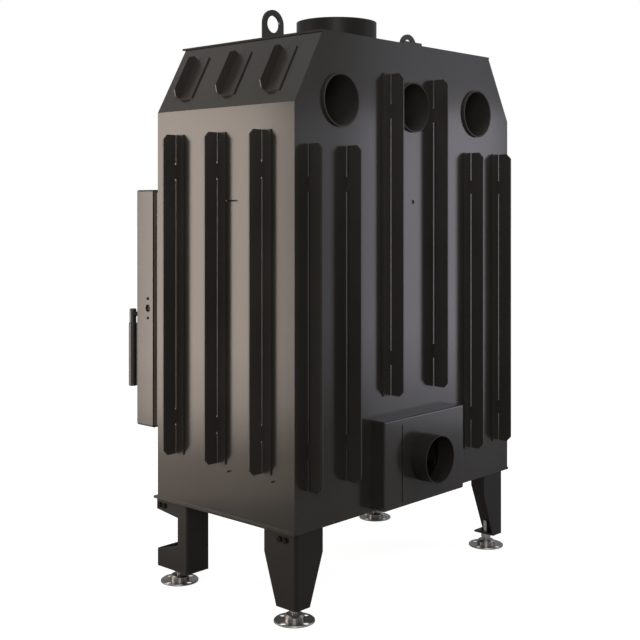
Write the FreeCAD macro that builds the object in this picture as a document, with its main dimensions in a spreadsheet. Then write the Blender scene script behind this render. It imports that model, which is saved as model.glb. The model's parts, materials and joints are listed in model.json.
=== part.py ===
import FreeCAD, Part
import os
import re
import Sketcher

# Wood-burning fireplace insert: a welded steel firebox on four legs, with fins on its walls, a hinged glass
# door at the front, a flue collar on top and an air intake at the back.
# Millimetres. +Z is up, the floor is z = 0, the door faces -Y and the middle of the insert is x = 0.

DIMENSIONS = [
    ("body_width", 722, "across the outer faces of the side walls"),
    ("body_depth", 403.5, "from the front panel's face to the back panel's face"),
    ("wall_height", 813, "base plate to the fold above the side wall"),
    ("slope_run", 80, "how far the sloped panel leans in"),
    ("slope_rise", 144.5, "fold to the top face of the top plate"),
    ("wall", 4, "steel sheet of the firebox"),
    ("top_plate", 4, "thickness of the top plate"),
    ("base_plate", 5, "thickness of the base plate"),
    ("rim_side", 4, "base and top plate past the side walls"),
    ("rim_front", 9, "base and top plate past the front panel"),
    ("leg_height", 182, "floor to the top face of the base plate"),
    ("weld_gap", 0.1, "play of a welded tube in its hole"),
    ("run_play", 0.05, "radial play of a turning or sliding shaft"),
    ("seat_play", 0.3, "play between a moving piece and its seat"),
    ("top_tab_width", 62, "back panel's tab through the top plate"),
    ("top_tab_rise", 5, "tab above the top plate"),
    ("sensor_hole_radius", 4.5, "hole high in the back panel"),
    ("sensor_hole_height", 624, "its height above the base plate"),
    ("fin_short", 149.5, "long fins shorter than the side wall's height"),
    ("fin_plate", 3, "sheet of the fins"),
    ("fin_base", 26, "flange of a long fin that lies on the wall"),
    ("fin_chamfer", 11, "cut-off outer corners of a fin"),
    ("fin_tab_start", 62, "end of a fin to its bridge across the slit"),
    ("fin_tab", 30, "length of a bridge"),
    ("fin_slit", 3.6, "standing flange's back to the slit's far side"),
    ("side_slit_rise", 3.1, "height of a side fin's slit on the standing flange"),
    ("back_slit_rise", 4.6, "height of a back fin's slit on the standing flange"),
    ("fin_relief", 3, "length of the relief cut at each end of a bridge"),
    ("fin_relief_rise", 5.2, "its height on the standing flange"),
    ("fin_height", 36, "standing flange of a long fin off the wall"),
    ("side_fin_bottom", 100, "lower end above the base plate"),
    ("side_fin_first", 60, "front panel's face to the first side fin"),
    ("side_fin_pitch", 128, "fin to fin"),
    ("side_fin_count", 3, "fins on each side wall and each slope"),
    ("slope_fin_length", 102, "short fins on the slopes"),
    ("slope_fin_height", 24, "standing flange of a short fin off the slope"),
    ("slope_fin_base", 41, "flange of a short fin that lies on the slope"),
    ("slope_fin_first", 53.5, "front panel's face to the first short fin"),
    ("slope_fin_start", 29.5, "fold to the lower end of a short fin"),
    ("back_fin_bottom", 71.5, "lower end of the outer four"),
    ("outer_fin_inset", 40.5, "side wall's face to the middle of the outermost fins"),
    ("outer_fin_pitch", 111, "outermost fin to the next"),
    ("inner_fin_x", 76.5, "middle to the inner pair"),
    ("inner_fin_bottom", 224.7, "lower end of the inner pair"),
    ("tube_inset", 129, "side wall's face to the outer tubes' centres"),
    ("tube_rise", 11, "fold to the tube centres"),
    ("tube_radius", 53, "outside of a convection tube"),
    ("tube_wall", 3, "sheet of a convection tube"),
    ("tube_count", 3, "convection tubes"),
    ("tube_proud", 5, "tubes beyond the back panel"),
    ("flue_radius", 90, "outside of the flue collar"),
    ("flue_wall", 3, "sheet of the flue collar"),
    ("flue_rise", 68.5, "collar above the top plate"),
    ("flue_setback", 217, "back panel's face to the flue centre"),
    ("eye_inset", 54, "upper end of the slope to each lifting eye's centre"),
    ("eye_setback", 192, "back panel's face to the eye plate"),
    ("eye_plate", 5, "thickness of a lifting eye"),
    ("eye_width", 60, "width and twice the crown radius"),
    ("eye_hole_radius", 18, "hole for a shackle"),
    ("eye_hole_rise", 36.5, "hole centre above the top plate"),
    ("box_width", 272, "intake box"),
    ("box_height", 181, "intake box, up from the base plate's level"),
    ("box_reach", 34, "intake box off the back panel"),
    ("box_sheet", 2, "sheet of the intake box"),
    ("box_bend", 3, "outer radius of the intake box's folds"),
    ("box_slot", 3, "upright slot in the intake box's face"),
    ("box_slot_x", 79, "middle of the box to that slot"),
    ("box_slot_rise", 8.5, "base plate's level to the slot's lower end"),
    ("box_slot_drop", 13, "slot's upper end below the box's top"),
    ("pipe_radius", 49.5, "outside of the intake pipe"),
    ("pipe_wall", 2, "sheet of the intake pipe"),
    ("pipe_reach", 38, "pipe off the box face"),
    ("pipe_height", 90, "pipe centre above the base plate"),
    ("leg_plate", 4, "sheet of the legs"),
    ("leg_bend", 7, "outer radius of the legs' folds"),
    ("leg_inset_x", 11, "side wall to the leg's side flange"),
    ("leg_inset_y", 6.5, "back panel to the rear leg's back flange"),
    ("leg_clear", 29, "floor to the lower end of the legs"),
    ("rear_leg_side", 86, "rear leg's side flange"),
    ("rear_leg_back", 75, "rear leg's back flange"),
    ("rear_leg_straight", 49, "straight part below the base plate"),
    ("rear_toe_side", 53, "rear leg's side flange at its lower end"),
    ("rear_toe_back", 38.5, "rear leg's back flange at its lower end"),
    ("front_leg_side", 102, "front leg, front to rear"),
    ("front_leg_lead", 18, "front leg's toe ahead of the front panel"),
    ("front_leg_flange", 57.5, "front leg's front and rear flanges"),
    ("front_leg_ear", 16, "front leg's upper ear ahead of the front panel"),
    ("front_leg_ear_drop", 35, "upper ear below the base plate"),
    ("front_leg_ear_slant", 8, "rise of the ear's lower edge towards the front"),
    ("front_leg_toe", 36, "height of the toe"),
    ("front_leg_notch", 32, "upright left behind the notch"),
    ("front_leg_step", 18, "slant of the notch's lower edge"),
    ("foot_inset", 25.5, "leg's side flange to the foot's spindle"),
    ("rear_foot_inset", 29, "rear leg's back flange to its spindle"),
    ("front_foot_setback", 46.25, "front leg's toe to its spindle"),
    ("foot_radius", 40, "levelling foot's plate"),
    ("foot_plate", 3, "thickness of the plate"),
    ("foot_edge", 1, "chamfer of the plate's upper edge"),
    ("foot_hub_radius", 20, "hub on the plate"),
    ("foot_hub", 14, "floor to the top of the hub"),
    ("foot_hub_edge", 3.5, "chamfer of the hub's upper edge"),
    ("foot_groove", 1.5, "depth of the groove round the hub"),
    ("foot_groove_low", 7, "floor to the groove"),
    ("foot_groove_width", 2, "groove round the hub"),
    ("foot_hole_radius", 4.2, "holes in the plate"),
    ("foot_hole_circle", 34, "radius of the holes' circle"),
    ("spindle_radius", 6, "levelling spindle"),
    ("spindle_above", 25, "spindle above the leg's toe plate"),
    ("nut_flats", 19, "lock nut across flats"),
    ("nut_height", 10, "lock nut"),
    ("bolt_radius", 3, "leg bolts"),
    ("bolt_flats", 10, "leg bolt heads across flats"),
    ("bolt_head", 4, "height of a bolt head"),
    ("bolt_grip", 11, "bolt under its head"),
    ("bolt_pitch", 15, "the two bolts of a leg"),
    ("bolt_drop", 17, "base plate's underside to the bolts"),
    ("front_bolt_setback", 2, "front panel's face to the middle of the front bolts"),
    ("rear_bolt_setback", 42, "back panel's face to the middle of the rear bolts"),
    ("lug_width", 30, "lugs under the base plate that take the bolts"),
    ("lug_depth", 27, "lugs below the base plate"),
    ("stud_radius", 1.5, "studs on the side walls"),
    ("stud_length", 15, "upper studs off the wall"),
    ("stud_stub", 5, "lower studs off the wall"),
    ("stud_high", 626, "upper studs above the base plate"),
    ("stud_drop", 12, "lower ends of the side fins to the lower studs"),
    ("stud_offset_a", 43, "middle fin to the first upper stud"),
    ("stud_offset_b", 106.5, "middle fin to the second upper stud"),
    ("stud_offset_c", 34, "middle fin to the first lower stud"),
    ("stud_offset_d", 158, "middle fin to the second lower stud"),
    ("door_height", 508, "door box, which is as wide as the body"),
    ("door_depth", 55.5, "door box"),
    ("door_bottom", 142, "door's lower edge above the base plate"),
    ("door_gap", 17, "front panel to the door's back"),
    ("door_sheet", 3, "sheet of the door box"),
    ("door_bend", 4, "outer radius of the door box's folds"),
    ("window_side", 62, "door's edge to the window, at the sides"),
    ("window_end", 56, "door's edge to the window, above and below"),
    ("glass_lip", 12, "cover of the glass behind the window's edge"),
    ("glass_play", 1, "glass edge to the door box"),
    ("glass", 4, "thickness of the glass"),
    ("gasket", 2, "flat gasket in front of the glass"),
    ("clip_length", 30, "glass clips"),
    ("clip_sheet", 3, "sheet of a glass clip"),
    ("clip_depth", 16, "clip's leg along the door box"),
    ("clip_inset", 88, "window's end to a clip's middle"),
    ("clip_screw_radius", 2.5, "screws of the glass clips"),
    ("clip_screw_head", 4.5, "radius of their heads"),
    ("clip_screw_rise", 3, "height of their heads"),
    ("fire_margin", 61, "door's edge to the opening in the front panel, at the sides"),
    ("fire_margin_low", 48, "door's lower edge to that opening"),
    ("fire_margin_high", 50, "door's upper edge to that opening"),
    ("surround_plate", 4.5, "plate behind the door"),
    ("surround_standoff", 6.5, "front panel to that plate"),
    ("surround_inset", 6, "that plate's edge behind the door's edge"),
    ("spacer_width", 12, "frame between the two, round the opening"),
    ("rope_width", 10, "rope seal on the door's back"),
    ("rope_margin", 2, "door's back opening to the rope seal"),
    ("hinge_clear", 10, "door's edge to the hinge pins, sideways"),
    ("hinge_setback", 9, "front panel's face to the hinge pins"),
    ("hinge_hold", 30, "hinge bracket behind the surround plate"),
    ("hinge_link_play", 1, "door's hinge link to the surround's edge"),
    ("hinge_radius", 7, "hinge knuckles"),
    ("hinge_pin_radius", 4, "hinge pins"),
    ("hinge_knuckle", 35, "length of one knuckle"),
    ("hinge_end", 70, "door's end to a hinge's middle"),
    ("hinge_leaf", 44, "leaf along the door's side"),
    ("hinge_sheet", 3, "leaf on the door's side"),
    ("pin_head_radius", 6, "head of a hinge pin"),
    ("pin_head", 4, "height of that head"),
    ("handle_inset", 23, "door's right edge to the handle's shaft"),
    ("handle_shaft_rise", 378, "shaft above the base plate"),
    ("handle_shaft_radius", 5, "shaft through the door"),
    ("handle_reach", 42, "door's face to the handle bar"),
    ("handle_radius", 7.6, "upper part of the handle bar"),
    ("handle_crown", 11, "handle bar above its shaft"),
    ("handle_drop", 159, "handle bar below its shaft"),
    ("grip_radius", 9.2, "grip sleeve on the bar"),
    ("grip_length", 139, "grip sleeve"),
    ("handle_edge", 1.5, "chamfer of the handle bar's ends"),
    ("grip_edge", 1, "chamfer of the grip's ends"),
    ("collar_radius", 9, "collar on the shaft against the door's face"),
    ("collar_length", 6, "that collar"),
    ("arm_reach", 22, "latch arm, from the shaft's centre to its tip"),
    ("arm_width", 14, "latch arm"),
    ("arm_plate", 4.5, "thickness of the latch arm"),
    ("arm_play", 2, "latch arm in the surround's slot"),
    ("latch_block_width", 36, "bearing block in the door's right stile"),
    ("latch_block_height", 60, "bearing block"),
    ("latch_block_depth", 20, "bearing block"),
    ("latch_setback", 39, "door's face to the side hole"),
    ("latch_hole_above", 18, "side hole above the handle's shaft"),
    ("latch_hole_radius", 8, "round hole in the door's side"),
    ("latch_plug_radius", 5, "adjusting screw seen in the hole"),
    ("latch_plug", 10, "depth of the adjusting screw in the block"),
    ("latch_screw_pitch", 41.4, "two screws, above and below the hole"),
    ("latch_screw_radius", 2, "those screws"),
    ("latch_screw_length", 12, "those screws"),
    ("hearth_rise", 120, "base plate to the hearth plate"),
    ("hearth_plate", 5, "thickness of the hearth plate"),
    ("lining", 30, "boards and bricks round the fire"),
    ("lining_drop", 123, "fold to the top of the side and back linings"),
    ("baffle_throat", 110, "smoke gap between front panel and baffle"),
    ("pan_length", 226, "ash pan, left to right"),
    ("pan_depth", 166, "ash pan, front to back"),
    ("pan_height", 45, "ash pan below its rim"),
    ("pan_sheet", 2, "sheet of the ash pan"),
    ("pan_taper", 6, "lean of the ash pan's walls in degrees"),
    ("pan_rim", 9, "rim that hangs on the hearth plate"),
    ("pan_play", 2, "ash pan in the hearth plate's opening"),
    ("grate_height", 14, "thickness of the grate"),
    ("grate_slot", 12, "slots in the grate"),
    ("grate_pitch", 26, "slot to slot"),
    ("grate_border", 20, "solid edge of the grate"),
    ("grate_play", 2, "grate in the floor lining"),
    ("guard_height", 45, "log guard"),
    ("guard_foot", 30, "foot of the log guard"),
    ("guard_sheet", 4, "sheet of the log guard"),
    ("guard_setback", 5, "front panel's inner face to the log guard"),
    ("air_rise", 42, "air rod above the base plate"),
    ("air_rod_radius", 4, "air rod"),
    ("air_port_width", 160, "air opening in the back panel"),
    ("air_port_height", 54, "air opening in the back panel"),
    ("air_overlap", 8, "valve plate past the opening"),
    ("air_valve", 3, "thickness of the valve plate"),
    ("air_guide_setback", 70, "back panel's face to the rod's guide"),
    ("air_guide_width", 30, "rod's guide"),
    ("air_guide_plate", 4, "rod's guide"),
    ("air_guide_above", 14, "guide above the rod's centre"),
    ("knob_gap", 18, "front panel's face to the air knob"),
    ("knob_length", 24, "air knob"),
    ("knob_radius", 14, "air knob"),
    ("knob_neck", 8, "radius of the knob's neck"),
    ("knob_neck_length", 7, "knob's neck"),
    ("knob_flare", 6, "neck to the knob's full radius"),
    ("knob_edge", 2.4, "chamfer of the knob's front edge"),
]

V = FreeCAD.Vector
doc = FreeCAD.newDocument("fireplace_insert")
sheet = doc.addObject("Spreadsheet::Sheet", "dims")
for row, (alias, size, meaning) in enumerate(DIMENSIONS, start=1):
    sheet.set(f"A{row}", meaning)
    sheet.set(f"B{row}", str(size))
    sheet.setAlias(f"B{row}", alias)
doc.recompute()

ALIASES = {alias for alias, size, meaning in DIMENSIONS}
WORD = re.compile(r"[A-Za-z_][A-Za-z_0-9]*")
TURN = {
    "x": FreeCAD.Rotation(V(0, 1, 0), 90),
    "y": FreeCAD.Rotation(V(1, 0, 0), -90),
    "z": FreeCAD.Rotation(),
}
NODES = []

# The back panel's outer face lies where the whole insert, handle to intake pipe, is centred on y = 0
FRONT_REACH = "body_depth + door_gap + door_depth + handle_reach + grip_radius"
BACK = f"(({FRONT_REACH} - box_reach - pipe_reach) / 2)"

# Places that many pieces share, as expressions on the sheet
HALF = "(body_width / 2)"
INSIDE = f"({HALF} - wall)"
FRONT = f"({BACK} - body_depth)"
FRONT_IN = f"({FRONT} + wall)"
BACK_IN = f"({BACK} - wall)"
MID_Y = f"({BACK} - body_depth / 2)"
BASE = "leg_height"
BASE_UNDER = "(leg_height - base_plate)"
LEAN = "atan(slope_run / slope_rise)"
FOLD_IN = f"({BASE} + wall_height - wall * tan({LEAN} / 2))"
TOP = f"({BASE} + wall_height + slope_rise)"
TOP_UNDER = f"({TOP} - top_plate)"
TOP_OUT = f"({HALF} - (slope_rise - top_plate) * slope_run / slope_rise)"
TOP_IN = f"({TOP_OUT} - wall / cos({LEAN}))"
FIN_LENGTH = "(wall_height - fin_short)"
MIDDLE_FIN = f"({FRONT} + side_fin_first + side_fin_pitch)"
OUTER_FIN_X = f"({HALF} - outer_fin_inset)"
TUBE_X = f"({HALF} - tube_inset)"
TUBE_Z = f"({BASE} + wall_height + tube_rise)"
EYE_X = f"({HALF} - slope_run - eye_inset)"
LEG_X = f"({HALF} - leg_inset_x)"
REAR_LEG_Y = f"({BACK} - leg_inset_y)"
FRONT_BOLT_Y = f"({FRONT} + front_bolt_setback)"
REAR_BOLT_Y = f"({BACK} - rear_bolt_setback)"
BOLT_Z = f"({BASE_UNDER} - bolt_drop)"
TOE_Y = f"({FRONT} - front_leg_lead)"
FRONT_LEG_REAR = f"({TOE_Y} + front_leg_side)"
FOOT_X = f"({LEG_X} - foot_inset)"
REAR_FOOT_Y = f"({REAR_LEG_Y} - rear_foot_inset)"
FRONT_FOOT_Y = f"({TOE_Y} + front_foot_setback)"
DOOR_HALF = HALF
DOOR_LOW = f"({BASE} + door_bottom)"
DOOR_HIGH = f"({DOOR_LOW} + door_height)"
DOOR_BACK = f"({FRONT} - door_gap)"
DOOR_FACE = f"({DOOR_BACK} - door_depth)"
WINDOW_X = f"({DOOR_HALF} - window_side)"
WINDOW_LOW = f"({DOOR_LOW} + window_end)"
WINDOW_HIGH = f"({DOOR_HIGH} - window_end)"
SEAT_X = f"({WINDOW_X} + glass_lip)"
SEAT_LOW = f"({WINDOW_LOW} - glass_lip)"
SEAT_HIGH = f"({WINDOW_HIGH} + glass_lip)"
FIRE_X = f"({DOOR_HALF} - fire_margin)"
FIRE_LOW = f"({DOOR_LOW} + fire_margin_low)"
FIRE_HIGH = f"({DOOR_HIGH} - fire_margin_high)"
SURROUND_BACK = f"({FRONT} - surround_standoff)"
SURROUND_FACE = f"({SURROUND_BACK} - surround_plate)"
HANDLE_X = f"({DOOR_HALF} - handle_inset)"
SHAFT_Z = f"({BASE} + handle_shaft_rise)"
HANDLE_Y = f"({DOOR_FACE} - handle_reach)"
HEARTH = f"({BASE} + hearth_rise + hearth_plate)"
LINING_IN = f"({INSIDE} - lining)"
LINING_TOP = f"({BASE} + wall_height - lining_drop)"


def in_sheet(text):
    """Turns an expression on plain dimension names into one on the sheet's cells."""
    return WORD.sub(lambda hit: "dims." + hit.group() if hit.group() in ALIASES else hit.group(), text)


def value(text):
    return float(sheet.evalExpression(in_sheet(text)))


def bind(piece, prop, text):
    piece.setExpression(prop, in_sheet(text))


def place(piece, at, turn=None):
    if turn is not None:
        piece.Placement = FreeCAD.Placement(V(0, 0, 0), turn)
    for axis, text in zip("xyz", at):
        bind(piece, "Placement.Base." + axis, text)
    return piece


def node(piece, label):
    """Marks a finished piece as a sub-part of its own."""
    piece.Label = label
    NODES.append(piece)
    return piece


def block(name, low, size):
    piece = doc.addObject("Part::Box", name)
    for prop, text in zip(("Length", "Width", "Height"), size):
        bind(piece, prop, text)
    return place(piece, low)


def rod(name, axis, radius, length, start):
    piece = doc.addObject("Part::Cylinder", name)
    bind(piece, "Radius", radius)
    bind(piece, "Height", length)
    return place(piece, start, TURN[axis])


def hexagon(name, axis, flats, height, start):
    piece = doc.addObject("Part::Prism", name)
    piece.Polygon = 6
    bind(piece, "Circumradius", f"{flats} / 2 / cos(30)")
    bind(piece, "Height", height)
    return place(piece, start, TURN[axis])


def fuse(name, pieces):
    joined = doc.addObject("Part::MultiFuse", name)
    joined.Shapes = pieces
    return joined


def cut(name, base, tools):
    """Takes the tools, none of which touch each other, out of the base."""
    tool = tools[0]
    if len(tools) > 1:
        tool = group(name + "_tools", tools)
    left = doc.addObject("Part::Cut", name)
    left.Base = base
    left.Tool = tool
    return left


def group(name, pieces):
    together = doc.addObject("Part::Compound", name)
    together.Links = pieces
    return together


def mirror(name, source):
    """The same piece on the other side of the insert's middle plane."""
    twin = doc.addObject("Part::Mirroring", name)
    twin.Source = source
    twin.Base = V(0, 0, 0)
    twin.Normal = V(1, 0, 0)
    return twin


def both_sides(name, source):
    return group(name, [source, mirror(name + "_left", source)])


def new_body(name):
    return doc.addObject("PartDesign::Body", name)


def origin_feature(body, role):
    return next(feature for feature in body.Origin.OriginFeatures if feature.Role == role)


def outline(body, name, role, loops, circles=(), offset=None):
    """A sketch of closed polygons and circles whose points are tied to the sheet."""
    sketch = body.newObject("Sketcher::SketchObject", name)
    sketch.AttachmentSupport = [(origin_feature(body, role), "")]
    sketch.MapMode = "FlatFace"
    if offset is not None:
        bind(sketch, "AttachmentOffset.Base.z", offset)
    for points in loops:
        places = [V(value(across), value(up), 0) for across, up in points]
        first = sketch.GeometryCount
        count = len(points)
        for index in range(count):
            sketch.addGeometry(Part.LineSegment(places[index], places[(index + 1) % count]), False)
        for index in range(count):
            follows = first + (index + 1) % count
            sketch.addConstraint(Sketcher.Constraint("Coincident", first + index, 2, follows, 1))
        for index, (across, up) in enumerate(points):
            tie_point(sketch, first + index, 1, across, up)
    for across, up, radius in circles:
        centre = V(value(across), value(up), 0)
        ring = sketch.addGeometry(Part.Circle(centre, V(0, 0, 1), value(radius)), False)
        tie_point(sketch, ring, 3, across, up)
        tied = sketch.addConstraint(Sketcher.Constraint("Radius", ring, value(radius)))
        bind(sketch, f"Constraints[{tied}]", radius)
    return sketch


def tie_point(sketch, geometry, end, across, up):
    for kind, text in (("DistanceX", across), ("DistanceY", up)):
        tied = sketch.addConstraint(Sketcher.Constraint(kind, -1, 1, geometry, end, value(text)))
        bind(sketch, f"Constraints[{tied}]", text)


def pad(body, sketch, length, against_normal=False, taper=None):
    feature = body.newObject("PartDesign::Pad", sketch.Name + "_pad")
    feature.Profile = sketch
    feature.Reversed = against_normal
    bind(feature, "Length", length)
    if taper is not None:
        bind(feature, "TaperAngle", taper)
    return feature


def pocket(body, sketch, depth, taper):
    feature = body.newObject("PartDesign::Pocket", sketch.Name + "_pocket")
    feature.Profile = sketch
    bind(feature, "Length", depth)
    bind(feature, "TaperAngle", taper)
    return feature


def pocket_through(body, sketch):
    feature = body.newObject("PartDesign::Pocket", sketch.Name + "_pocket")
    feature.Profile = sketch
    feature.Type = "ThroughAll"
    feature.Midplane = True
    return feature


def revolve(body, sketch, axis="V_Axis"):
    feature = body.newObject("PartDesign::Revolution", sketch.Name + "_turned")
    feature.Profile = sketch
    feature.ReferenceAxis = (sketch, [axis])
    feature.Angle = 360
    return feature


def round_edges(body, radius, chosen):
    """Rounds the edges for whose middle point and direction the test holds."""
    doc.recompute()
    names = []
    for index, edge in enumerate(body.Shape.Edges, start=1):
        if edge.Curve.TypeId != "Part::GeomLine":
            continue
        middle = body.Placement.inverse().multVec(edge.CenterOfMass)
        along = edge.Vertexes[-1].Point - edge.Vertexes[0].Point
        if chosen(middle, along.normalize()):
            names.append(f"Edge{index}")
    if not names:
        raise RuntimeError("no edge to round on " + body.Name)
    sharp = body.Tip
    feature = body.newObject("PartDesign::Fillet", sharp.Name + "_rounded")
    feature.Base = (sharp, names)
    bind(feature, "Radius", radius)
    return feature


def near(number, text):
    return abs(number - value(text)) < 0.01


def row_of(body, features, axis, pitch, count, reverse=False):
    pattern = body.newObject("PartDesign::LinearPattern", body.Name + "_row")
    pattern.Originals = features
    pattern.Direction = (origin_feature(body, axis), [""])
    pattern.Mode = "Spacing"
    pattern.Reversed = reverse
    bind(pattern, "Offset", pitch)
    bind(pattern, "Occurrences", count)
    body.Tip = pattern
    return pattern


def rectangle(low_x, low_z, high_x, high_z):
    return [(low_x, low_z), (high_x, low_z), (high_x, high_z), (low_x, high_z)]


def upright_plate(name, rear, thickness, loops, circles=()):
    """A plate facing the front, outlined in x and z, that reaches forward from its rear face."""
    body = new_body(name)
    pad(body, outline(body, name + "_outline", "XZ_Plane", loops, circles), thickness)
    return place(body, ("0", rear, "0"))


def flat_plate(name, low, thickness, loops, circles=()):
    """A level plate, outlined in x and y, that reaches up from its lower face."""
    body = new_body(name)
    pad(body, outline(body, name + "_outline", "XY_Plane", loops, circles), thickness)
    return place(body, ("0", "0", low))


def side_plate(name, outer, thickness, loops):
    """A plate facing the right, outlined in y and z, that reaches in from its outer face."""
    body = new_body(name)
    pad(body, outline(body, name + "_outline", "YZ_Plane", loops), thickness, against_normal=True)
    return place(body, (outer, "0", "0"))


def firebox_outline():
    """The six-sided outline inside the side walls and slopes."""
    right = [(INSIDE, BASE), (INSIDE, FOLD_IN), (TOP_IN, TOP_UNDER)]
    left = [("-" + across, up) for across, up in reversed(right)]
    return right + left


def make_walls():
    side = new_body("side_panel")
    fold = f"({BASE} + wall_height)"
    wall_outline = [(INSIDE, BASE), (HALF, BASE), (HALF, fold), (INSIDE, FOLD_IN)]
    pad(side, outline(side, "side_section", "XZ_Plane", [wall_outline]), "body_depth")
    place(side, ("0", BACK, "0"))
    node(side, "side_panel_right")
    node(mirror("side_panel_twin", side), "side_panel_left")

    slope = new_body("slope_panel")
    slope_outline = [(INSIDE, FOLD_IN), (HALF, fold), (TOP_OUT, TOP_UNDER), (TOP_IN, TOP_UNDER)]
    pad(slope, outline(slope, "slope_section", "XZ_Plane", [slope_outline]), "body_depth")
    place(slope, ("0", BACK, "0"))
    node(slope, "slope_panel_right")
    node(mirror("slope_panel_twin", slope), "slope_panel_left")

    tube_hole = "(tube_radius + weld_gap)"
    tubes = [(across, TUBE_Z, tube_hole) for across in (f"-{TUBE_X}", "0", TUBE_X)]
    shape = firebox_outline()
    tab = "(top_tab_width / 2)"
    tab_top = f"({TOP} + top_tab_rise)"
    tab_outline = [(tab, TOP_UNDER), (tab, tab_top), ("-" + tab, tab_top), ("-" + tab, TOP_UNDER)]
    port = "(air_port_width / 2)"
    port_low = f"({BASE} + air_rise - air_port_height / 2)"
    port_high = f"({BASE} + air_rise + air_port_height / 2)"
    sensor = ("0", f"({BASE} + sensor_hole_height)", "sensor_hole_radius")
    back_loops = [shape[:3] + tab_outline + shape[3:], rectangle("-" + port, port_low, port, port_high)]
    node(upright_plate("back_panel", BACK, "wall", back_loops, tubes + [sensor]), "back_panel")

    fire_loop = rectangle("-" + FIRE_X, FIRE_LOW, FIRE_X, FIRE_HIGH)
    rod_hole = ("0", f"({BASE} + air_rise)", "air_rod_radius + run_play")
    front = upright_plate("front_panel", FRONT_IN, "wall", [shape, fire_loop], tubes + [rod_hole])
    node(front, "front_panel")

    side_edge = f"({HALF} - slope_run + rim_side)"
    front_edge = f"({FRONT} - rim_front)"
    notch = "(top_tab_width / 2 + seat_play)"
    notch_in = f"({BACK_IN} - seat_play)"
    top_outline = [
        ("-" + side_edge, front_edge), (side_edge, front_edge), (side_edge, BACK), (notch, BACK),
        (notch, notch_in), ("-" + notch, notch_in), ("-" + notch, BACK), ("-" + side_edge, BACK),
    ]
    flue_hole = ("0", f"{BACK} - flue_setback", "flue_radius - flue_wall")
    node(flat_plate("top", TOP_UNDER, "top_plate", [top_outline], [flue_hole]), "top_plate")


def make_base():
    edge = f"({HALF} + rim_side)"
    front_edge = f"({FRONT} - rim_front)"
    sheet_metal = block("base_sheet", ("-" + edge, front_edge, BASE_UNDER),
                        (f"2 * {edge}", "body_depth + rim_front", "base_plate"))
    lugs = []
    holes = []
    for end, middle in (("front", FRONT_BOLT_Y), ("rear", REAR_BOLT_Y)):
        corner = (f"{LEG_X} - 2 * leg_plate", f"{middle} - lug_width / 2", f"{BASE_UNDER} - lug_depth")
        lug = block(f"lug_{end}", corner, ("leg_plate", "lug_width", "lug_depth"))
        lugs += [lug, mirror(f"lug_{end}_left", lug)]
        for spot in bolt_holes(f"lug_hole_{end}", middle, "run_play"):
            holes += [spot, mirror(spot.Name + "_left", spot)]
    node(cut("base", fuse("base_with_lugs", [sheet_metal] + lugs), holes), "base_plate")


def bolt_holes(name, middle, play):
    """Two holes side by side through the lug behind a leg's side flange."""
    holes = []
    for place_word, sign in (("a", "-"), ("b", "+")):
        start = (f"{LEG_X} - 3 * leg_plate", f"{middle} {sign} bolt_pitch / 2", BOLT_Z)
        holes.append(rod(f"{name}_{place_word}", "x", f"bolt_radius + {play}", "4 * leg_plate", start))
    return holes


def fin(name, role, point, length, tabs, rise="0", height="fin_height", base="fin_base",
        against_normal=True):
    """One L-shaped fin: a standing flange with cut corners and a flange on the wall, bridged by tabs."""
    body = new_body(name)
    slit = "fin_slit" if len(tabs) > 1 else "fin_plate"
    inner = []
    for start, end in tabs:
        inner += [(start, "0"), (end, "0")]
    if len(tabs) > 1:
        stepped = [("0", rise)]
        for start, end in tabs:
            stepped += [
                (f"{start} - fin_relief", rise), (f"{start} - fin_relief", "fin_relief_rise"),
                (start, "fin_relief_rise"), (start, "0"), (end, "0"), (end, "fin_relief_rise"),
                (f"{end} + fin_relief", "fin_relief_rise"), (f"{end} + fin_relief", rise),
            ]
        inner = stepped + [(length, rise)]
    outer = [
        (length, f"{height} - fin_chamfer"), (f"{length} - fin_chamfer", height),
        ("fin_chamfer", height), ("0", f"{height} - fin_chamfer"),
    ]
    standing = [point(along, off) for along, off in inner + outer]
    features = [pad(body, outline(body, name + "_standing", role, [standing]), "fin_plate", against_normal)]
    lying = [point(along, off) for along, off in rectangle("0", "0", length, "fin_plate")]
    shift = f"-{slit}" if against_normal else slit
    flange = outline(body, name + "_flange", role, [lying], offset=shift)
    features.append(pad(body, flange, f"{base} - {slit}", against_normal))
    if len(tabs) > 1:
        bridges = []
        for start, end in tabs:
            bridges.append([point(along, off) for along, off in rectangle(start, "0", end, "fin_plate")])
        bridge_outline = outline(body, name + "_bridges", role, bridges)
        features.append(pad(body, bridge_outline, "fin_slit", against_normal))
    return body, features


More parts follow.
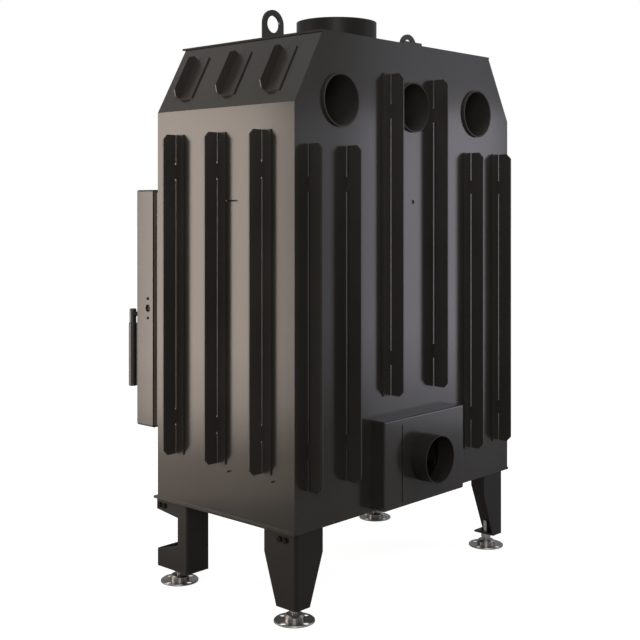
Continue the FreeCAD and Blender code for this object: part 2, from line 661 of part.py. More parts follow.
def make_fins():
    long_tabs = [
        ("fin_tab_start", "fin_tab_start + fin_tab"),
        (f"{FIN_LENGTH} - fin_tab_start - fin_tab", f"{FIN_LENGTH} - fin_tab_start"),
    ]

    def on_side(along, off):
        return f"{HALF} + {off}", f"{BASE} + side_fin_bottom + {along}"

    def on_slope(along, off):
        run = f"(slope_fin_start + {along})"
        return (f"{HALF} - {run} * sin({LEAN}) + ({off}) * cos({LEAN})",
                f"{BASE} + wall_height + {run} * cos({LEAN}) + ({off}) * sin({LEAN})")

    def on_back(along, off):
        return f"{BACK} + {off}", f"{BASE} + back_fin_bottom + {along}"

    def on_back_high(along, off):
        return f"{BACK} + {off}", f"{BASE} + inner_fin_bottom + {along}"

    side, features = fin("side_fin", "XZ_Plane", on_side, FIN_LENGTH, long_tabs, "side_slit_rise")
    row_of(side, features, "Y_Axis", "side_fin_pitch", "side_fin_count")
    place(side, ("0", f"{FRONT} + side_fin_first", "0"))
    node(both_sides("side_fins", side), "side_fins")

    short_tab = [("0", "slope_fin_length")]
    slope, features = fin("slope_fin", "XZ_Plane", on_slope, "slope_fin_length", short_tab,
                          height="slope_fin_height", base="slope_fin_base")
    row_of(slope, features, "Y_Axis", "side_fin_pitch", "side_fin_count")
    place(slope, ("0", f"{FRONT} + slope_fin_first", "0"))
    node(both_sides("slope_fins", slope), "slope_fins")

    fins = []
    next_fin = f"({OUTER_FIN_X} - outer_fin_pitch)"
    for name, across, spot, inwards in (
            ("outer_fin", f"{OUTER_FIN_X} + fin_plate / 2", on_back, True),
            ("next_fin", f"{next_fin} + fin_plate / 2", on_back, True),
            ("inner_fin", "inner_fin_x - fin_plate / 2", on_back_high, False)):
        one, _ = fin(name, "YZ_Plane", spot, FIN_LENGTH, long_tabs, "back_slit_rise", against_normal=inwards)
        place(one, (across, "0", "0"))
        fins += [one, mirror(name + "_left", one)]
    node(group("back_fins", fins), "back_fins")


def make_ducts():
    tubes = new_body("tubes")
    centre = (f"-{TUBE_X}", TUBE_Z)
    rings = [centre + ("tube_radius",), centre + ("tube_radius - tube_wall",)]
    tube = pad(tubes, outline(tubes, "tube_ring", "XZ_Plane", [], rings), "body_depth + tube_proud")
    row_of(tubes, [tube], "X_Axis", TUBE_X, "tube_count")
    node(place(tubes, ("0", f"{BACK} + tube_proud", "0")), "convection_tubes")

    collar = new_body("flue")
    section = rectangle("flue_radius - flue_wall", "0", "flue_radius", "flue_rise")
    revolve(collar, outline(collar, "flue_section", "XZ_Plane", [section]))
    node(place(collar, ("0", f"{BACK} - flue_setback", TOP)), "flue_collar")

    box = new_body("intake")
    half = "(box_width / 2)"
    inner = "(box_width / 2 - box_sheet)"
    high = f"({BASE} + box_height)"
    outer_loop = rectangle("-" + half, BASE, half, high)
    inner_loop = rectangle("-" + inner, f"{BASE} + box_sheet", inner, f"{high} - box_sheet")
    pad(box, outline(box, "box_walls", "XZ_Plane", [outer_loop, inner_loop]), "box_reach", True)
    hole = ("0", f"{BASE} + pipe_height", "pipe_radius - pipe_wall")
    slot = rectangle("box_slot_x - box_slot / 2", f"{BASE} + box_slot_rise",
                     "box_slot_x + box_slot / 2", f"{high} - box_slot_drop")
    face = outline(box, "box_face", "XZ_Plane", [outer_loop, slot], [hole], offset="box_sheet - box_reach")
    pad(box, face, "box_sheet", True)
    place(box, ("0", BACK, "0"))

    def on_border(middle, along):
        at_side = near(abs(middle.x), half)
        at_end = near(middle.z, BASE) or near(middle.z, high)
        return (at_side and at_end) or (near(middle.y, "box_reach") and (at_side or at_end))

    round_edges(box, "box_bend", on_border)
    node(box, "intake_box")

    pipe = new_body("pipe")
    centre = ("0", f"{BASE} + pipe_height")
    rings = [centre + ("pipe_radius",), centre + ("pipe_radius - pipe_wall",)]
    pad(pipe, outline(pipe, "pipe_ring", "XZ_Plane", [], rings), "pipe_reach", True)
    node(place(pipe, ("0", f"{BACK} + box_reach", "0")), "intake_pipe")


def make_lifting_eyes():
    centre_z = f"{TOP} + eye_hole_rise"
    setback = f"{BACK} - eye_setback - eye_plate / 2"
    foot = block("eye_foot", (f"{EYE_X} - eye_width / 2", setback, TOP),
                 ("eye_width", "eye_plate", "eye_hole_rise"))
    crown = rod("eye_crown", "y", "eye_width / 2", "eye_plate", (EYE_X, setback, centre_z))
    hole = rod("eye_hole", "y", "eye_hole_radius", "3 * eye_plate",
               (EYE_X, f"{setback} - eye_plate", centre_z))
    eye = cut("eye", fuse("eye_blank", [foot, crown]), [hole])
    node(both_sides("eyes", eye), "lifting_eyes")


def leg_holes(body, end, bolt_y, foot_y):
    """The hole for the foot's spindle and the two holes for the leg's bolts."""
    toe_hole = (FOOT_X, foot_y, "spindle_radius + run_play")
    pocket_through(body, outline(body, f"{end}_toe_hole", "XY_Plane", [], [toe_hole]))
    bolt_spots = [(f"{bolt_y} {sign} bolt_pitch / 2", BOLT_Z, "bolt_radius + weld_gap") for sign in "-+"]
    pocket_through(body, outline(body, f"{end}_bolt_holes", "YZ_Plane", [], bolt_spots))


def fold_leg(body, corners, inner_corners):
    """Rounds the upright folds of a leg, outside and inside."""
    def at_any(spots):
        return lambda middle, along: abs(along.z) > 0.9 and any(
            near(middle.x, across) and near(middle.y, deep) for across, deep in spots)

    round_edges(body, "leg_bend", at_any(corners))
    round_edges(body, "leg_bend - leg_plate", at_any(inner_corners))


def make_legs():
    """Folded sheet legs, each with a plate at its lower end that takes a foot's spindle."""
    inner_x = f"({LEG_X} - leg_plate)"

    rear = new_body("rear_leg")
    inner_y = f"({REAR_LEG_Y} - leg_plate)"
    end_y = f"({REAR_LEG_Y} - rear_leg_side)"
    end_x = f"({LEG_X} - rear_leg_back)"
    toe_y = f"({REAR_LEG_Y} - rear_toe_side)"
    toe_x = f"({LEG_X} - rear_toe_back)"
    knee = f"({BASE_UNDER} - rear_leg_straight)"
    below = "(leg_clear - leg_plate)"
    angle = [
        (LEG_X, REAR_LEG_Y), (end_x, REAR_LEG_Y), (end_x, inner_y),
        (inner_x, inner_y), (inner_x, end_y), (LEG_X, end_y),
    ]
    section = outline(rear, "rear_leg_section", "XY_Plane", [angle], offset="leg_clear")
    pad(rear, section, f"{BASE_UNDER} - leg_clear")
    side_taper = [
        (end_y, knee), (toe_y, "leg_clear"), (toe_y, below),
        (f"{end_y} - leg_plate", below), (f"{end_y} - leg_plate", knee),
    ]
    pocket_through(rear, outline(rear, "rear_leg_side_taper", "YZ_Plane", [side_taper]))
    back_taper = [
        (end_x, knee), (toe_x, "leg_clear"), (toe_x, below),
        (f"{end_x} - leg_plate", below), (f"{end_x} - leg_plate", knee),
    ]
    pocket_through(rear, outline(rear, "rear_leg_back_taper", "XZ_Plane", [back_taper]))
    toe_plate = rectangle(toe_x, toe_y, LEG_X, REAR_LEG_Y)
    pad(rear, outline(rear, "rear_leg_toe", "XY_Plane", [toe_plate], offset="leg_clear"), "leg_plate")
    leg_holes(rear, "rear", REAR_BOLT_Y, REAR_FOOT_Y)
    fold_leg(rear, [(LEG_X, REAR_LEG_Y)], [(inner_x, inner_y)])
    node(both_sides("rear_leg_pair", rear), "rear_legs")

    front = new_body("front_leg")
    ear_y = f"({FRONT} - front_leg_ear)"
    ear_low = f"({BASE_UNDER} - front_leg_ear_drop)"
    upright_y = f"({FRONT_LEG_REAR} - front_leg_notch)"
    toe_high = "(leg_clear + front_leg_toe)"
    side_outline = [
        (ear_y, BASE_UNDER), (ear_y, f"{ear_low} + front_leg_ear_slant"),
        (upright_y, ear_low), (upright_y, f"{toe_high} + front_leg_step"),
        (f"{TOE_Y} + leg_bend", toe_high), (TOE_Y, toe_high), (TOE_Y, "leg_clear"),
        (FRONT_LEG_REAR, "leg_clear"), (FRONT_LEG_REAR, BASE_UNDER),
    ]
    pad(front, outline(front, "front_leg_side", "YZ_Plane", [side_outline], offset=LEG_X), "leg_plate", True)
    flange_x = f"({LEG_X} - front_leg_flange)"
    rear_flange = rectangle(flange_x, f"{FRONT_LEG_REAR} - leg_plate", LEG_X, FRONT_LEG_REAR)
    pad(front, outline(front, "front_leg_rear_flange", "XY_Plane", [rear_flange], offset="leg_clear"),
        f"{BASE_UNDER} - leg_clear")
    toe_flange = rectangle(flange_x, TOE_Y, LEG_X, f"{TOE_Y} + leg_plate")
    pad(front, outline(front, "front_leg_toe_flange", "XY_Plane", [toe_flange], offset="leg_clear"),
        "front_leg_toe")
    toe_plate = rectangle(flange_x, TOE_Y, LEG_X, FRONT_LEG_REAR)
    pad(front, outline(front, "front_leg_toe_plate", "XY_Plane", [toe_plate], offset="leg_clear"),
        "leg_plate")
    leg_holes(front, "front", FRONT_BOLT_Y, FRONT_FOOT_Y)
    fold_leg(front, [(LEG_X, TOE_Y), (LEG_X, FRONT_LEG_REAR)],
             [(inner_x, f"{TOE_Y} + leg_plate"), (inner_x, f"{FRONT_LEG_REAR} - leg_plate")])
    node(both_sides("front_leg_pair", front), "front_legs")

    bolts = []
    for end, middle in (("front", FRONT_BOLT_Y), ("rear", REAR_BOLT_Y)):
        for place_word, sign in (("a", "-"), ("b", "+")):
            name = f"{end}_{place_word}"
            along = f"{middle} {sign} bolt_pitch / 2"
            head = hexagon(f"bolt_head_{name}", "x", "bolt_flats", "bolt_head", (LEG_X, along, BOLT_Z))
            shank = rod(f"bolt_shank_{name}", "x", "bolt_radius", "bolt_grip",
                        (f"{LEG_X} - bolt_grip", along, BOLT_Z))
            bolt = fuse(f"bolt_{name}", [head, shank])
            bolts += [bolt, mirror(f"bolt_{name}_left", bolt)]
    node(group("bolts", bolts), "leg_bolts")


def make_feet():
    nuts = []
    groove_floor = "(foot_hub_radius - foot_groove)"
    groove_high = "(foot_groove_low + foot_groove_width)"
    foot_section = [
        ("0", "0"), ("foot_radius", "0"), ("foot_radius", "foot_plate - foot_edge"),
        ("foot_radius - foot_edge", "foot_plate"), ("foot_hub_radius", "foot_plate"),
        ("foot_hub_radius", "foot_groove_low"), (groove_floor, "foot_groove_low"),
        (groove_floor, groove_high), ("foot_hub_radius", groove_high),
        ("foot_hub_radius", "foot_hub - foot_hub_edge"),
        ("foot_hub_radius - foot_hub_edge", "foot_hub"), ("0", "foot_hub"),
    ]
    for end, along in (("front", FRONT_FOOT_Y), ("rear", REAR_FOOT_Y)):
        for side, sign in (("right", ""), ("left", "-")):
            name = f"{end}_{side}"
            across = sign + FOOT_X
            plate = new_body(f"foot_{name}")
            revolve(plate, outline(plate, f"foot_section_{name}", "XZ_Plane", [foot_section]))
            circle = "foot_hole_circle"
            spots = [(circle, "0"), ("0", circle), ("-" + circle, "0"), ("0", "-" + circle)]
            holes = [(x, y, "foot_hole_radius") for x, y in spots]
            pocket_through(plate, outline(plate, f"foot_holes_{name}", "XY_Plane", [], holes))
            node(place(plate, (across, along, "0")), f"foot_plate_{name}")
            spindle = rod(f"spindle_{name}", "z", "spindle_radius",
                          "leg_clear + leg_plate + spindle_above - foot_hub", (across, along, "foot_hub"))
            node(spindle, f"foot_spindle_{name}")
            nut = hexagon(f"nut_{name}", "z", "nut_flats", "nut_height",
                          (across, along, "leg_clear - nut_height"))
            bore = rod(f"nut_bore_{name}", "z", "spindle_radius + run_play", "2 * leg_clear",
                       (across, along, "0"))
            nuts.append(cut(f"lock_nut_{name}", nut, [bore]))
    node(group("lock_nuts", nuts), "foot_lock_nuts")


def make_studs():
    studs = []
    high = ("stud_high", "stud_length")
    low = ("(side_fin_bottom - stud_drop)", "stud_stub")
    for letter, (height, length) in (("a", high), ("b", high), ("c", low), ("d", low)):
        spot = (HALF, f"{MIDDLE_FIN} + stud_offset_{letter}", f"{BASE} + {height}")
        stud = rod(f"stud_{letter}", "x", "stud_radius", length, spot)
        studs += [stud, mirror(f"stud_{letter}_left", stud)]
    node(group("studs", studs), "side_studs")


def ring_loops(side, low, high, width):
    """Two rectangles, one inside the other by a width, as the outline of a frame."""
    outer = rectangle(f"-({side})", low, side, high)
    inner = rectangle(f"-({side} - {width})", f"{low} + {width}", f"{side} - {width}", f"{high} - {width}")
    return [outer, inner]


def make_door_surround():
    spacer_loops = ring_loops(f"({FIRE_X} + spacer_width)", f"({FIRE_LOW} - spacer_width)",
                              f"({FIRE_HIGH} + spacer_width)", "spacer_width")
    node(upright_plate("spacer", FRONT, "surround_standoff", spacer_loops), "surround_spacer")

    edge = f"({DOOR_HALF} - surround_inset)"
    arm_room = "(arm_width / 2 + arm_play)"
    slot = rectangle(f"{HANDLE_X} - {arm_room}", f"{SHAFT_Z} - arm_reach - arm_play",
                     f"{HANDLE_X} + {arm_room}", f"{SHAFT_Z} + {arm_room}")
    plate_loops = [
        rectangle(f"-{edge}", f"{DOOR_LOW} + surround_inset", edge, f"{DOOR_HIGH} - surround_inset"),
        rectangle("-" + FIRE_X, FIRE_LOW, FIRE_X, FIRE_HIGH),
        slot,
    ]
    node(upright_plate("surround", SURROUND_BACK, "surround_plate", plate_loops), "door_surround")


def make_door():
    body = new_body("door_box")
    outer_walls = ring_loops(DOOR_HALF, DOOR_LOW, DOOR_HIGH, "door_sheet")
    window = rectangle("-" + WINDOW_X, WINDOW_LOW, WINDOW_X, WINDOW_HIGH)
    seat = rectangle("-" + SEAT_X, SEAT_LOW, SEAT_X, SEAT_HIGH)
    inner_walls = ring_loops(f"({SEAT_X} + door_sheet)", f"({SEAT_LOW} - door_sheet)",
                             f"({SEAT_HIGH} + door_sheet)", "door_sheet")
    pad(body, outline(body, "door_walls", "XZ_Plane", outer_walls), "door_depth", True)
    pad(body, outline(body, "door_face", "XZ_Plane", [outer_walls[0], window]), "door_sheet", True)
    pad(body, outline(body, "door_inner", "XZ_Plane", inner_walls), "door_depth - door_sheet", True)
    place(body, ("0", DOOR_FACE, "0"))

    def on_border(middle, along):
        at_side = near(abs(middle.x), DOOR_HALF)
        at_end = near(middle.z, DOOR_LOW) or near(middle.z, DOOR_HIGH)
        return (at_side and at_end) or (near(middle.y, "0") and (at_side or at_end))

    round_edges(body, "door_bend", on_border)
    hole_y = f"{DOOR_FACE} + latch_setback"
    hole_z = f"({SHAFT_Z} + latch_hole_above)"
    inside_wall = f"{DOOR_HALF} - 2 * door_sheet"
    cuts = [rod("latch_hole", "x", "latch_hole_radius", "3 * door_sheet", (inside_wall, hole_y, hole_z))]
    for name, sign in (("upper", "+"), ("lower", "-")):
        spot = (inside_wall, hole_y, f"{hole_z} {sign} latch_screw_pitch / 2")
        cuts.append(rod(f"latch_screw_hole_{name}", "x", "latch_screw_radius + weld_gap",
                        "3 * door_sheet", spot))
    bearing_radius = "handle_shaft_radius + run_play"
    cuts.append(rod("face_shaft_hole", "y", bearing_radius, "3 * door_sheet",
                    (HANDLE_X, f"{DOOR_FACE} - door_sheet", SHAFT_Z)))
    gasket_rear = f"({DOOR_FACE} + door_sheet + gasket)"
    glass_rear = f"({gasket_rear} + glass)"
    clip_y = f"{glass_rear} + clip_depth / 2 + clip_sheet / 2"
    clip_spots = (("lower", f"{WINDOW_LOW} + clip_inset"), ("upper", f"{WINDOW_HIGH} - clip_inset"))
    clip_hole = "clip_screw_radius + weld_gap"
    for name, middle in clip_spots:
        hole = rod(f"frame_clip_hole_{name}", "x", clip_hole, "2 * door_sheet",
                   (f"{SEAT_X} - door_sheet", clip_y, middle))
        cuts += [hole, mirror(f"frame_clip_hole_{name}_left", hole)]
    node(cut("door_shell", body, cuts), "door_frame")

    back_outer = f"{DOOR_HALF} - door_sheet - weld_gap"
    back_low = f"{DOOR_LOW} + door_sheet + weld_gap"
    back_high = f"{DOOR_HIGH} - door_sheet - weld_gap"
    back_loops = [rectangle(f"-({back_outer})", back_low, back_outer, back_high), seat]
    back_hole = (HANDLE_X, SHAFT_Z, bearing_radius)
    node(upright_plate("door_back", DOOR_BACK, "door_sheet", back_loops, [back_hole]), "door_back_plate")

    pane_x = f"({SEAT_X} - glass_play)"
    pane = rectangle("-" + pane_x, f"{SEAT_LOW} + glass_play", pane_x, f"{SEAT_HIGH} - glass_play")
    node(upright_plate("flat_gasket", gasket_rear, "gasket", [pane, window]), "glass_gasket")
    node(upright_plate("pane", glass_rear, "glass", [pane]), "door_glass")

    clips = []
    screws = []
    toe_x = f"{SEAT_X} - glass_lip"
    leg_x = f"{SEAT_X} - clip_sheet"
    toe_rear = f"{glass_rear} + clip_sheet"
    leg_rear = f"{glass_rear} + clip_depth"
    angle = [
        (toe_x, glass_rear), (SEAT_X, glass_rear), (SEAT_X, leg_rear),
        (leg_x, leg_rear), (leg_x, toe_rear), (toe_x, toe_rear),
    ]
    for name, middle in clip_spots:
        bent = new_body(f"clip_bent_{name}")
        section = outline(bent, f"clip_section_{name}", "XY_Plane", [angle],
                          offset=f"{middle} - clip_length / 2")
        pad(bent, section, "clip_length")
        hole = rod(f"clip_hole_{name}", "x", clip_hole, "3 * clip_sheet",
                   (f"{SEAT_X} - 2 * clip_sheet", clip_y, middle))
        clip = cut(f"clip_{name}", bent, [hole])
        head = rod(f"clip_head_{name}", "x", "clip_screw_head", "clip_screw_rise",
                   (f"{SEAT_X} - clip_sheet - clip_screw_rise", clip_y, middle))
        shank = rod(f"clip_shank_{name}", "x", "clip_screw_radius", "clip_sheet + 2 * door_sheet",
                    (f"{SEAT_X} - clip_sheet", clip_y, middle))
        screw = fuse(f"clip_screw_{name}", [head, shank])
        clips += [clip, mirror(f"clip_{name}_left", clip)]
        screws += [screw, mirror(f"clip_screw_{name}_left", screw)]
    node(group("clips", clips), "glass_clips")
    node(group("clip_screws", screws), "glass_clip_screws")

    rope_out = "(rope_margin + rope_width)"
    rope_loops = ring_loops(f"({SEAT_X} + {rope_out})", f"({SEAT_LOW} - {rope_out})",
                            f"({SEAT_HIGH} + {rope_out})", "rope_width")
    rope_rear = f"({SURROUND_FACE} - seat_play)"
    node(upright_plate("rope", rope_rear, f"{rope_rear} - {DOOR_BACK}", rope_loops), "door_rope_seal")


def make_hinges():
    """Two lift-off hinges on the door's left edge, each a fixed knuckle below the door's own."""
    fixed = []
    moving = []
    pins = []
    axis_y = f"({FRONT} - hinge_setback)"
    left = f"(-{DOOR_HALF} - hinge_clear)"
    bore_radius = "hinge_pin_radius + run_play"
    spots = (("lower", f"({DOOR_LOW} + hinge_end)"), ("upper", f"({DOOR_HIGH} - hinge_end)"))
    for name, middle in spots:
        bottom = f"({middle} - hinge_knuckle)"
        arm = block(f"hinge_arm_{name}", (left, SURROUND_BACK, bottom),
                    ("hinge_clear + hinge_hold", "surround_standoff", "hinge_knuckle"))
        knuckle = rod(f"fixed_knuckle_{name}", "z", "hinge_radius", "hinge_knuckle", (left, axis_y, bottom))
        bore = rod(f"fixed_bore_{name}", "z", bore_radius, "2 * hinge_knuckle", (left, axis_y, bottom))
        fixed.append(cut(f"fixed_hinge_{name}", fuse(f"fixed_blank_{name}", [arm, knuckle]), [bore]))

        low = f"({middle} + seat_play)"
        leaf = block(f"door_leaf_{name}", (f"-{DOOR_HALF} - hinge_sheet", f"{DOOR_BACK} - hinge_leaf", low),
                     ("hinge_sheet", "hinge_leaf", "hinge_knuckle"))
        link_front = f"({DOOR_BACK} - 2 * hinge_sheet)"
        link = block(f"door_link_{name}", (left, link_front, low),
                     ("hinge_clear - hinge_link_play", f"{axis_y} - {link_front}", "hinge_knuckle"))
        turning = rod(f"door_knuckle_{name}", "z", "hinge_radius", "hinge_knuckle", (left, axis_y, low))
        loose = rod(f"door_bore_{name}", "z", bore_radius, "3 * hinge_knuckle", (left, axis_y, bottom))
        blank = fuse(f"door_hinge_blank_{name}", [leaf, link, turning])
        moving.append(cut(f"door_hinge_{name}", blank, [loose]))

        shank = rod(f"pin_shank_{name}", "z", "hinge_pin_radius", "2 * hinge_knuckle + 2 * seat_play",
                    (left, axis_y, bottom))
        head = rod(f"pin_head_{name}", "z", "pin_head_radius", "pin_head",
                   (left, axis_y, f"{bottom} + 2 * hinge_knuckle + 2 * seat_play"))
        pins.append(fuse(f"pin_{name}", [shank, head]))
    node(group("fixed_hinges", fixed), "hinge_brackets")
    node(group("door_hinges", moving), "door_hinge_leaves")
    node(group("pins", pins), "hinge_pins")


def make_latch():
    """A bar handle that turns an arm behind the surround plate; hanging, the arm passes through its slot."""
    arm_front = f"({SURROUND_BACK} + seat_play)"
    arm_rear = f"({arm_front} + arm_plate)"
    shaft_start = (HANDLE_X, HANDLE_Y, SHAFT_Z)
    shaft = rod("shaft_bar", "y", "handle_shaft_radius", f"{arm_rear} - {HANDLE_Y}", shaft_start)
    stop = rod("shaft_collar", "y", "collar_radius", "collar_length",
               (HANDLE_X, f"{DOOR_FACE} - collar_length - seat_play", SHAFT_Z))
    node(fuse("shaft", [shaft, stop]), "handle_shaft")

    tight_bore = "handle_shaft_radius + weld_gap"
    bar_low = (HANDLE_X, HANDLE_Y, f"{SHAFT_Z} - handle_drop")
    bar = new_body("handle_bar")
    bar_length = "(handle_crown + handle_drop)"
    bar_section = [
        ("0", "0"), ("handle_radius - handle_edge", "0"), ("handle_radius", "handle_edge"),
        ("handle_radius", f"{bar_length} - handle_edge"), ("handle_radius - handle_edge", bar_length),
        ("0", bar_length),
    ]
    revolve(bar, outline(bar, "handle_bar_section", "XZ_Plane", [bar_section]))
    place(bar, bar_low)
    socket = rod("handle_socket", "y", tight_bore, "handle_reach", shaft_start)
    node(cut("handle", bar, [socket]), "door_handle")
    sleeve = new_body("grip_sleeve")
    sleeve_in = "(handle_radius + weld_gap)"
    sleeve_section = [
        (sleeve_in, "0"), ("grip_radius - grip_edge", "0"), ("grip_radius", "grip_edge"),
        ("grip_radius", "grip_length - grip_edge"), ("grip_radius - grip_edge", "grip_length"),
        (sleeve_in, "grip_length"),
    ]
    revolve(sleeve, outline(sleeve, "grip_section", "XZ_Plane", [sleeve_section]))
    node(place(sleeve, bar_low), "handle_grip")

    head = rod("arm_head", "y", "arm_width / 2", "arm_plate", (HANDLE_X, arm_front, SHAFT_Z))
    tongue = block("arm_tongue", (f"{HANDLE_X} - arm_width / 2", arm_front, f"{SHAFT_Z} - arm_reach"),
                   ("arm_width", "arm_plate", "arm_reach"))
    bore = rod("arm_bore", "y", tight_bore, "3 * arm_plate",
               (HANDLE_X, f"{arm_front} - arm_plate", SHAFT_Z))
    node(cut("arm", fuse("arm_blank", [head, tongue]), [bore]), "latch_arm")

    block_y = f"{DOOR_FACE} + latch_setback - latch_block_depth / 2"
    block_x = f"{DOOR_HALF} - door_sheet - latch_block_width"
    hole_z = f"({SHAFT_Z} + latch_hole_above)"
    housing = block("latch_housing", (block_x, block_y, f"{hole_z} - latch_block_height / 2"),
                    ("latch_block_width", "latch_block_depth", "latch_block_height"))
    bearing = rod("latch_bearing", "y", "handle_shaft_radius + run_play", "3 * latch_block_depth",
                  (HANDLE_X, f"{block_y} - latch_block_depth", SHAFT_Z))
    hole_y = f"{DOOR_FACE} + latch_setback"
    plug_x = f"{DOOR_HALF} - door_sheet - latch_plug"
    plug_seat = rod("latch_plug_seat", "x", "latch_plug_radius + weld_gap", "2 * latch_plug",
                    (plug_x, hole_y, hole_z))
    seats = []
    screws = []
    seat_radius = "latch_screw_radius + weld_gap"
    for name, sign in (("upper", "+"), ("lower", "-")):
        spot = (f"{DOOR_HALF} - latch_screw_length", hole_y, f"{hole_z} {sign} latch_screw_pitch / 2")
        seats.append(rod(f"latch_screw_seat_{name}", "x", seat_radius, "latch_screw_length", spot))
        screws.append(rod(f"latch_screw_{name}", "x", "latch_screw_radius", "latch_screw_length", spot))
    node(cut("latch_block_bored", housing, [bearing, plug_seat] + seats), "latch_block")
    screws.append(rod("latch_plug_screw", "x", "latch_plug_radius", "latch_plug", (plug_x, hole_y, hole_z)))
    node(group("latch_fixings", screws), "latch_screws")


def make_hearth():
    opening_x = "(pan_length / 2 + pan_play)"
    opening_y = "(pan_depth / 2 + pan_play)"
    pan_hole = rectangle(f"-{opening_x}", f"{MID_Y} - {opening_y}", opening_x, f"{MID_Y} + {opening_y}")
    plate_outline = rectangle(f"-{INSIDE}", FRONT_IN, INSIDE, BACK_IN)
    hearth = flat_plate("hearth", f"{BASE} + hearth_rise", "hearth_plate", [plate_outline, pan_hole])
    node(hearth, "hearth_plate")

    board_height = f"{LINING_TOP} - {HEARTH}"
    back_board = block("back_board", (f"-{INSIDE}", f"{BACK_IN} - lining", HEARTH),
                       (f"2 * {INSIDE}", "lining", board_height))
    node(back_board, "back_lining")
    side_board = block("side_board", (LINING_IN, FRONT_IN, HEARTH),
                       ("lining", "body_depth - 2 * wall - lining", board_height))
    node(both_sides("side_boards", side_board), "side_linings")

    grate_x = "(pan_length / 2 + pan_rim)"
    grate_y = "(pan_depth / 2 + pan_rim)"
    floor_x = f"({grate_x} + grate_play)"
    floor_y = f"({grate_y} + grate_play)"
    floor_loops = [
        rectangle(f"-{LINING_IN}", FRONT_IN, LINING_IN, f"{BACK_IN} - lining"),
        rectangle(f"-{floor_x}", f"{MID_Y} - {floor_y}", floor_x, f"{MID_Y} + {floor_y}"),
    ]
    node(flat_plate("floor_bricks", HEARTH, "lining", floor_loops), "floor_lining")

    pan = new_body("pan")
    rim = rectangle(f"-{grate_x}", f"{MID_Y} - {grate_y}", grate_x, f"{MID_Y} + {grate_y}")
    tray_x = "(pan_length / 2)"
    tray_low = f"({MID_Y} - pan_depth / 2)"
    tray_high = f"({MID_Y} + pan_depth / 2)"
    hollow_x = f"({tray_x} - pan_sheet)"
    tray = rectangle(f"-{tray_x}", tray_low, tray_x, tray_high)
    hollow = rectangle(f"-{hollow_x}", f"{tray_low} + pan_sheet", hollow_x, f"{tray_high} - pan_sheet")
    pad(pan, outline(pan, "pan_rim", "XY_Plane", [rim], offset=HEARTH), "pan_sheet")
    pad(pan, outline(pan, "pan_tray", "XY_Plane", [tray], offset=HEARTH), "pan_height", True, "-pan_taper")
    mouth = outline(pan, "pan_hollow", "XY_Plane", [hollow], offset=f"{HEARTH} + pan_sheet")
    pocket(pan, mouth, "pan_height", "-pan_taper")
    node(pan, "ash_pan")

    grate_outline = rectangle(f"-{grate_x}", f"{MID_Y} - {grate_y}", grate_x, f"{MID_Y} + {grate_y}")
    slots = []
    for step in range(-3, 4):
        middle = f"{step} * grate_pitch"
        slots.append(rectangle(f"{middle} - grate_slot / 2", f"{MID_Y} - {grate_y} + grate_border",
                               f"{middle} + grate_slot / 2", f"{MID_Y} + {grate_y} - grate_border"))
    casting = flat_plate("grate_casting", f"{HEARTH} + pan_sheet", "grate_height", [grate_outline] + slots)
    node(casting, "grate")

    guard = new_body("guard")
    guard_y = f"({FRONT_IN} + guard_setback)"
    floor_top = f"({HEARTH} + lining)"
    angle = [
        (guard_y, floor_top), (f"{guard_y} + guard_foot", floor_top),
        (f"{guard_y} + guard_foot", f"{floor_top} + guard_sheet"),
        (f"{guard_y} + guard_sheet", f"{floor_top} + guard_sheet"),
        (f"{guard_y} + guard_sheet", f"{floor_top} + guard_height"),
        (guard_y, f"{floor_top} + guard_height"),
    ]
    pad(guard, outline(guard, "guard_section", "YZ_Plane", [angle], offset=f"-{FIRE_X}"), f"2 * {FIRE_X}")
    node(guard, "log_guard")

    baffle = block("baffle_board", (f"-{INSIDE}", f"{FRONT_IN} + baffle_throat", LINING_TOP),
                   (f"2 * {INSIDE}", "body_depth - 2 * wall - baffle_throat", "lining"))
    node(baffle, "smoke_baffle")


def make_air_control():
    height = f"({BASE} + air_rise)"
    plate_front = f"({BACK_IN} - seat_play - air_valve)"
    knob_rear = f"({FRONT} - knob_gap)"
    air_bar = rod("air_bar", "y", "air_rod_radius", f"{plate_front} - {knob_rear}", ("0", knob_rear, height))
    node(air_bar, "air_rod")
    valve_half = "(air_port_width / 2 + air_overlap)"
    valve_low = f"{height} - air_port_height / 2 - air_overlap"
    valve = block("valve_plate", (f"-{valve_half}", plate_front, valve_low),
                  (f"2 * {valve_half}", "air_valve", "air_port_height + 2 * air_overlap"))
    node(valve, "air_valve_plate")

    guide_y = f"{BACK} - air_guide_setback"
    guide = block("guide_plate", ("-air_guide_width / 2", guide_y, BASE),
                  ("air_guide_width", "air_guide_plate", "air_rise + air_guide_above"))
    guide_bore = rod("guide_bore", "y", "air_rod_radius + run_play", "3 * air_guide_plate",
                     ("0", f"{guide_y} - air_guide_plate", height))
    node(cut("guide", guide, [guide_bore]), "air_rod_guide")

    knob = new_body("knob")
    section = [
        ("0", "0"), ("knob_neck", "0"), ("knob_neck", "knob_neck_length"),
        ("knob_radius", "knob_neck_length + knob_flare"), ("knob_radius", "knob_length - knob_edge"),
        ("knob_radius - knob_edge", "knob_length"), ("0", "knob_length"),
    ]
    revolve(knob, outline(knob, "knob_section", "XZ_Plane", [section]))
    node(place(knob, ("0", knob_rear, height), FreeCAD.Rotation(V(1, 0, 0), 90)), "air_knob")


make_walls()
make_base()
make_fins()
make_ducts()
make_lifting_eyes()
make_legs()
make_feet()
make_studs()
make_door_surround()
make_door()
make_hinges()
make_latch()
make_hearth()
make_air_control()
doc.recompute()

faults = [piece.Name for piece in doc.Objects if "Invalid" in piece.State or "Error" in piece.State]
if faults:
    raise RuntimeError("these failed to build: " + ", ".join(faults))
for piece in NODES:
    if piece.Shape.isNull() or not piece.Shape.isValid() or not piece.Shape.Solids:
        raise RuntimeError("no valid solid in " + piece.Label)

